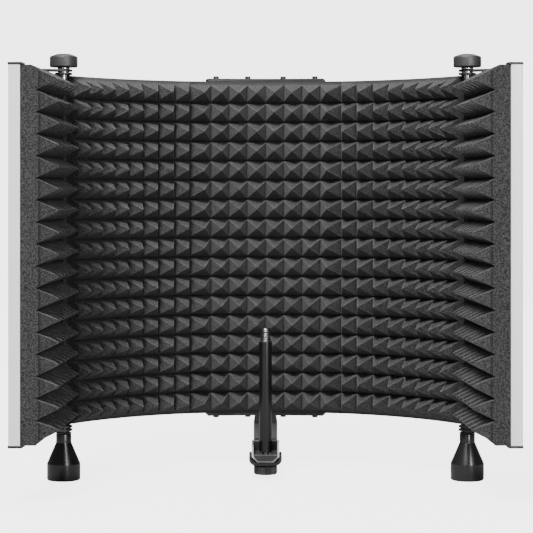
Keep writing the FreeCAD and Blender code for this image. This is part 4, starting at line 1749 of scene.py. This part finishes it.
@dataclass
class Hinges(Assembly):
    """Both hinges: brackets, rods, washers, knobs with collars, lock rings and feet."""

    broken: float = 0.3 * MM
    rod_radius: float = 3.05 * MM
    rod_bevel: float = 0.5 * MM
    rod_segments: int = 32
    bright_from: float = 364 * MM
    crown: float = 2.8 * MM
    crown_flat: float = 0.52
    bored: float = 0.35
    neck: float = 7.0 * MM
    neck_long: float = 7.8 * MM
    skirt_tall: float = 15.1 * MM
    skirt_bevel: float = 0.9 * MM
    pad_gap: float = 0.05 * MM
    flutes: int = 40
    flute_deep: float = 0.4 * MM
    flute_bevel: float = 0.35 * MM

    def build(self) -> None:
        """Makes and dresses both hinges."""
        for side in Side:
            word = side.word
            for node in ("side_hinge_bracket_", "wing_hinge_bracket_"):
                self.shop.soften(node + word, Coat.BLACK_METAL, self.broken)
            self.shop.dress("hinge_washers_" + word, Coat.WASHER)
            axis = axis_of("knob_" + word)
            self.rod("hinge_rod_" + word, axis)
            self.knob("knob_" + word, axis)
            self.collar("knob_collar_" + word, axis)
            self.foot(word, axis)
            self.shop.flute(
                "lock_ring_" + word, Coat.BLACK_METAL, axis, self.rod_radius, self.flutes,
                self.flute_deep, self.flute_bevel,
            )

    def rod(self, node: str, axis: Pair) -> None:
        """The long rod, dark as painted shade between the foam slabs, with a bright steel top under the
        collar.

        Args:
            node: The CAD node.
            axis: The hinge's x and y.
        """
        radius, low, high = extent(node)
        end = self.rod_bevel
        outline = (
            (0.0, low), (radius - end, low), (radius, low + end), (radius, self.bright_from),
            (radius, high - end), (radius - end, high), (0.0, high),
        )
        profile = [(*point, 0.0) for point in outline]
        piece = self.shop.turn(node, Coat.ROD, axis, profile, segments=self.rod_segments)
        piece.data.materials.append(self.shop.paint(Coat.STEEL))
        for face in piece.data.polygons:
            face.material_index = int(face.center.z > self.bright_from)

    def knob(self, node: str, axis: Pair) -> None:
        """A round knob with a low crown and a shallow groove under it.

        Args:
            node: The CAD node.
            axis: The hinge's x and y.
        """
        radius, low, high = extent(node)
        room = low + self.bored * (high - low)
        profile = [
            (0.0, room, 0.0), (self.rod_radius, room, 0.0), (self.rod_radius, low, 0.0),
            (radius - 0.7 * MM, low, 0.3 * MM), (radius, low + 0.6 * MM, 0.4 * MM),
            (radius, high - self.crown, 1.7 * MM), (radius * self.crown_flat, high - 0.55 * MM, 6 * MM),
            (0.0, high, 0.0),
        ]
        self.shop.turn(node, Coat.PLASTIC, axis, profile)

    def collar(self, node: str, axis: Pair) -> None:
        """The bright collar under a knob.

        Args:
            node: The CAD node.
            axis: The hinge's x and y.
        """
        radius, low, high = extent(node)
        profile = [
            (self.rod_radius, low, 0.0), (radius, low, 0.3 * MM), (radius, high - 0.7 * MM, 0.5 * MM),
            (radius - 0.8 * MM, high, 0.3 * MM), (self.rod_radius, high, 0.0),
        ]
        self.shop.turn(node, Coat.STEEL, axis, profile, closed=True)

    def foot(self, word: str, axis: Pair) -> None:
        """A turned foot, its neck opening into a cone over a straight skirt, and its pad.

        Args:
            word: The ending of its side.
            axis: The hinge's x and y.
        """
        radius, low, high = extent("foot_" + word)
        pad_radius, pad_low, pad_high = extent("foot_pad_" + word)
        room = extent("hinge_rod_" + word)[1] - 0.5 * MM
        bore, floor, edge = pad_radius + self.pad_gap, pad_high + self.pad_gap, self.skirt_bevel
        profile = [
            (0.0, room, 0.0), (self.rod_radius, room, 0.0), (self.rod_radius, high, 0.0),
            (self.neck, high, 0.4 * MM), (self.neck, high - self.neck_long, 0.6 * MM),
            (radius, low + self.skirt_tall, 0.5 * MM), (radius, low + edge, 0.5 * MM),
            (radius - edge, low, 0.3 * MM), (bore, low, 0.0), (bore, floor, 0.0), (0.0, floor, 0.0),
        ]
        self.shop.turn("foot_" + word, Coat.FOOT, axis, profile)
        profile = [
            (0.0, pad_low, 0.0), (pad_radius - 0.2 * MM, pad_low, 0.7 * MM),
            (pad_radius, pad_low + 1.2 * MM, 0.4 * MM), (pad_radius, pad_high, 0.2 * MM),
            (0.0, pad_high, 0.0),
        ]
        self.shop.turn("foot_pad_" + word, Coat.RUBBER, axis, profile)


def fluted_sector(size: Point, bore: float, count: int, deep: float, bevel: float) -> Piece:
    """One flute of a fluted ring or knob, to be turned round the Z axis.

    Args:
        size: Outer radius on the ridges, and the heights of the lower and upper faces.
        bore: Radius of the hole, or 0 for a knob closed on its axis.
        count: Flutes in the whole turn.
        deep: How far the flute is cut in.
        bevel: How far the rims are broken.

    Returns:
        The sector, open on its two cut faces.
    """
    radius, low, high = size
    step = 2 * math.pi / count
    shares = (0.0, 0.25, 0.5, 0.75, 1.0)
    cuts = (0.0, 0.55, 1.0, 0.55, 0.0)
    cuts = (0.0, 0.55, 1.0, 0.55, 0.0)
    corners: list[Point] = []
    columns = []
    for share, cut in zip(shares, cuts):
        angle = step * share
        outer = radius - deep * cut
        levels = [
            (bore, low), (outer - bevel, low), (outer, low + bevel),
            (outer, high - bevel), (outer - bevel, high), (bore, high),
        ]
        columns.append(list(range(len(corners), len(corners) + len(levels))))
        corners += [(r * math.cos(angle), r * math.sin(angle), z) for r, z in levels]
    last = len(columns[0]) - 1
    faces = []
    for here, after in zip(columns, columns[1:]):
        faces += [[here[i], after[i], after[i + 1], here[i + 1]] for i in range(last)]
        if bore > 0:
            faces.append([here[last], after[last], after[0], here[0]])
    sector = mesh_object("flute", corners, faces)

    def merge(work: Shape) -> None:
        """Joins the points that meet on the axis."""
        bmesh.ops.remove_doubles(work, verts=work.verts[:], dist=SAME_SPOT)

    return reworked(sector, merge)


@dataclass
class EndTrim(Assembly):
    """The bright profiles on the wings' front ends and their black caps."""

    front: float = 137 * MM
    back: float = 123 * MM
    wide: float = 10.1 * MM
    wall: float = 1.5 * MM
    inner: float = 1.25 * MM
    round_out: float = 1.1 * MM
    thin: float = 0.4 * MM
    broken: float = 0.5 * MM
    def section(self) -> list[Pair]:
        """The profile's section: out from the plate's face, and along the wing.

        Returns:
            The section's outline.
        """
        web, outer, inner = self.front - self.wall, self.wide - self.wall, self.inner + self.wall
        bends = [(0.0, self.front), (self.wide, self.front)]
        thin = [
            (self.wide, self.back), (outer, self.back), (outer, web), (inner, web), (inner, self.back),
            (self.inner, self.back),
        ]
        corners = [(0.0, web, self.thin), *((*bend, self.round_out) for bend in bends)]
        corners += [*((*corner, self.thin) for corner in thin), (self.inner, web, 0.0)]
        return filleted(corners, closed=True)

    def build(self) -> None:
        """Makes and dresses both profiles and the four caps."""
        for side in Side:
            node = "end_profile_" + side.word
            low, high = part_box(node)
            piece = extruded(node + "_drawn", self.section(), low[2], high[2], self.layout.wing(side).at)
            self.shop.finish(piece, Coat.PROFILE, node)
            for word in ("end_cap_top_", "end_cap_bottom_"):
                self.shop.soften(word + side.word, Coat.CAP, self.broken)


@dataclass
class RailMount(Assembly):
    """The slotted rail, the hanger on it and the stand socket below."""

    broken: float = 0.4 * MM

    def build(self) -> None:
        """Softens and dresses the rail and what holds it."""
        self.shop.soften("rail", Coat.RAIL, self.broken)
        self.shop.soften("hanger_block", Coat.GREY_BLOCK, self.broken)
        self.shop.soften("hanger_neck", Coat.BLACK_METAL, self.broken)
        self.shop.soften("stand_socket", Coat.BLACK_METAL, self.broken)
        self.shop.dress("hanger_bolt", Coat.STEEL)


@dataclass
class Carriage(Assembly):
    """The microphone post with its thread, the clip over the rail, the saddle and the clamp."""

    broken: float = 0.3 * MM
    clip_edge: float = 0.45 * MM
    thread_pitch: float = 1.5875 * MM
    thread_deep: float = 0.62 * MM
    thread_segments: int = 48
    thread_steps: int = 10
    run_out: float = 1.1 * MM
    run_out_deep: float = 0.9 * MM
    in_post: float = 1.5 * MM
    flutes: int = 44
    flute_deep: float = 0.45 * MM
    flute_bevel: float = 0.9 * MM

    def build(self) -> None:
        """Makes and dresses the carriage and its clamp."""
        self.shop.soften("mic_post", Coat.POST, self.broken)
        self.shop.soften("rail_clip", Coat.CLIP, self.clip_edge, cut_sheet=True)
        self.shop.soften("saddle", Coat.BLACK_METAL, self.broken)
        self.shop.dress("clamp_washer", Coat.FASTENER)
        self.shop.dress("clamp_stud", Coat.STEEL)
        self.shop.finish(self.thread(), Coat.THREAD, "mic_stud")
        self.shop.flute(
            "clamp_knob", Coat.PLASTIC, axis_of("clamp_knob"), 0.0, self.flutes,
            self.flute_deep, self.flute_bevel,
        )

    def thread(self) -> Piece:
        """The stud's helical thread, run out at its top and closed by flat ends.

        Returns:
            The thread.
        """
        radius, _, top = extent("mic_stud")
        x, y = axis_of("mic_stud")
        start = extent("mic_post")[2] - self.in_post
        count = round((top - start) / self.thread_pitch * self.thread_steps)
        corners = [(x, y, start)]
        grooves = [0.0]
        for level in range(count + 1):
            height = start + (top - start) * level / count
            taper = min(1.0, (top - height) / self.run_out)
            for step in range(self.thread_segments):
                share = step / self.thread_segments
                phase = ((height - start) / self.thread_pitch - share) % 1.0
                wave = min(1.0, max(0.0, 1.25 - abs(2 * phase - 1) * 1.5))
                reach = radius - self.thread_deep * (1 - wave)
                reach = min(reach, radius - self.run_out_deep * (1 - taper))
                angle = 2 * math.pi * share
                grooves.append(1 - wave)
                corners.append((x + reach * math.cos(angle), y + reach * math.sin(angle), height))
        corners.append((x, y, top))
        turn, end = self.thread_segments, len(corners) - 1
        faces = []
        for step in range(turn):
            after = (step + 1) % turn
            faces.append([0, 1 + after, 1 + step])
            faces.append([end, 1 + count * turn + step, 1 + count * turn + after])
            for level in range(count):
                base = 1 + level * turn
                faces.append([base + step, base + after, base + turn + after, base + turn + step])
        piece = mesh_object("mic_stud_thread", corners, faces)
        # The groove mark carries painted shade into the thread's grooves.
        layer = piece.data.attributes.new("groove", "FLOAT", "POINT")
        layer.data.foreach_set("value", [*grooves, 0.0])
        return smooth(reworked(piece, face_outwards), 60.0)


# ---- studio ----


@dataclass
class Studio:
    """A pale floor, soft light from all round and above, and the camera before the open front."""

    distance: float = 1.8
    eye: float = 261.1 * MM
    lens: float = 125.0
    sensor: float = 36.0
    shift: Pair = (0.0019, -0.1351)
    floor_size: float = 30.0
    sky: float = 0.13
    backdrop: float = 4.0
    floor_glow: float = 3.8
    floor_tone: Pair = (0.32, 0.35)
    aim: Point = (0.0, 0.0, 0.21)

    def build(self, layout: Layout) -> None:
        """Makes the floor, the lights and the camera.

        Args:
            layout: The panels' layout, for the camera's distance.
        """
        self.floor()
        world = bpy.data.worlds.new("pale_room")
        world.use_nodes = True
        tree = world.node_tree
        sky = tree.nodes["Background"]
        sky.inputs["Color"].default_value = (1, 1, 1, 1)
        seen = add_node(tree, "ShaderNodeLightPath").outputs["Is Camera Ray"]
        strength = math_node(tree, "MULTIPLY_ADD", seen, self.backdrop - self.sky, self.sky)
        tree.links.new(strength, sky.inputs["Strength"])
        bpy.context.scene.world = world
        for name, place, wide, tall, power, gloss_only in (
            ("key", (-0.5, -1.6, 2.2), 0.7, 0.7, 115.0, False),
            ("fill", (1.2, -1.9, 0.9), 1.0, 1.0, 8.0, False),
            ("top", (-0.1, 0.0, 2.2), 0.9, 0.9, 38.0, False),
            ("rear", (0.7, 2.3, 1.2), 1.2, 1.2, 22.0, False),
            ("strip_right", (0.8, -1.6, 0.45), 0.42, 1.5, 34.0, True),
            ("strip_left", (-0.6, -1.8, 0.45), 0.3, 1.2, 3.0, True),
        ):
            self.softbox(name, place, (wide, tall), power, gloss_only)
        camera = bpy.data.cameras.new("front_view")
        camera.lens = self.lens
        camera.sensor_width = self.sensor
        camera.shift_x, camera.shift_y = self.shift
        eye = bpy.data.objects.new("front_view", camera)
        eye.location = (0.0, layout.front - self.distance, self.eye)
        eye.rotation_euler = (math.pi / 2, 0.0, 0.0)
        bpy.context.scene.collection.objects.link(eye)
        bpy.context.scene.camera = eye

    def floor(self) -> None:
        """The pale floor."""
        half = self.floor_size / 2
        floor = mesh_object(
            "floor", [(-half, -half, 0), (half, -half, 0), (half, half, 0), (-half, half, 0)], [[0, 1, 2, 3]]
        )
        material = bpy.data.materials.new("pale_floor")
        material.use_nodes = True
        tree = material.node_tree
        place = add_node(tree, "ShaderNodeTexCoord").outputs["Object"]
        tone = spread(tree, noise(tree, place, 8.0, 3.0), given=self.floor_tone)
        shader = tree.nodes["Principled BSDF"]
        tree.links.new(tone, shader.inputs["Base Color"])
        shader.inputs["Roughness"].default_value = 0.9
        shader.inputs["Specular IOR Level"].default_value = 0.0
        shader.inputs["Emission Color"].default_value = (1, 1, 1, 1)
        seen = add_node(tree, "ShaderNodeLightPath").outputs["Is Camera Ray"]
        tree.links.new(math_node(tree, "MULTIPLY", seen, self.floor_glow), shader.inputs["Emission Strength"])
        floor.data.materials.append(material)

    def softbox(self, name: str, place: Point, size: Pair, power: float, gloss_only: bool) -> None:
        """A soft light turned towards the middle of the shield.

        Args:
            name: Its name.
            place: Where it stands.
            size: Its width and height.
            power: Its power in watts.
            gloss_only: Whether it shows in gloss and lights nothing else.
        """
        light = bpy.data.lights.new(name, "AREA")
        light.shape = "RECTANGLE"
        light.size, light.size_y = size
        light.energy = power
        made = bpy.data.objects.new(name, light)
        made.location = place
        made.visible_diffuse = not gloss_only
        x, y, z = np.array(self.aim) - np.array(place)
        made.rotation_euler = (math.atan2(math.hypot(x, y), -z), 0.0, math.atan2(-x, y))
        bpy.context.scene.collection.objects.link(made)


def main() -> None:
    """Builds every sub-assembly in order and the studio round them."""
    logging.basicConfig(level=logging.INFO, format="%(name)s %(message)s")
    shop, layout = Workshop(), Layout()
    for group in (FoamWall, BackPlates, CentreMount, Fasteners, Hinges, EndTrim, RailMount, Carriage):
        group(shop, layout).build()
    Studio().build(layout)


if __name__ == "__main__":
    main()
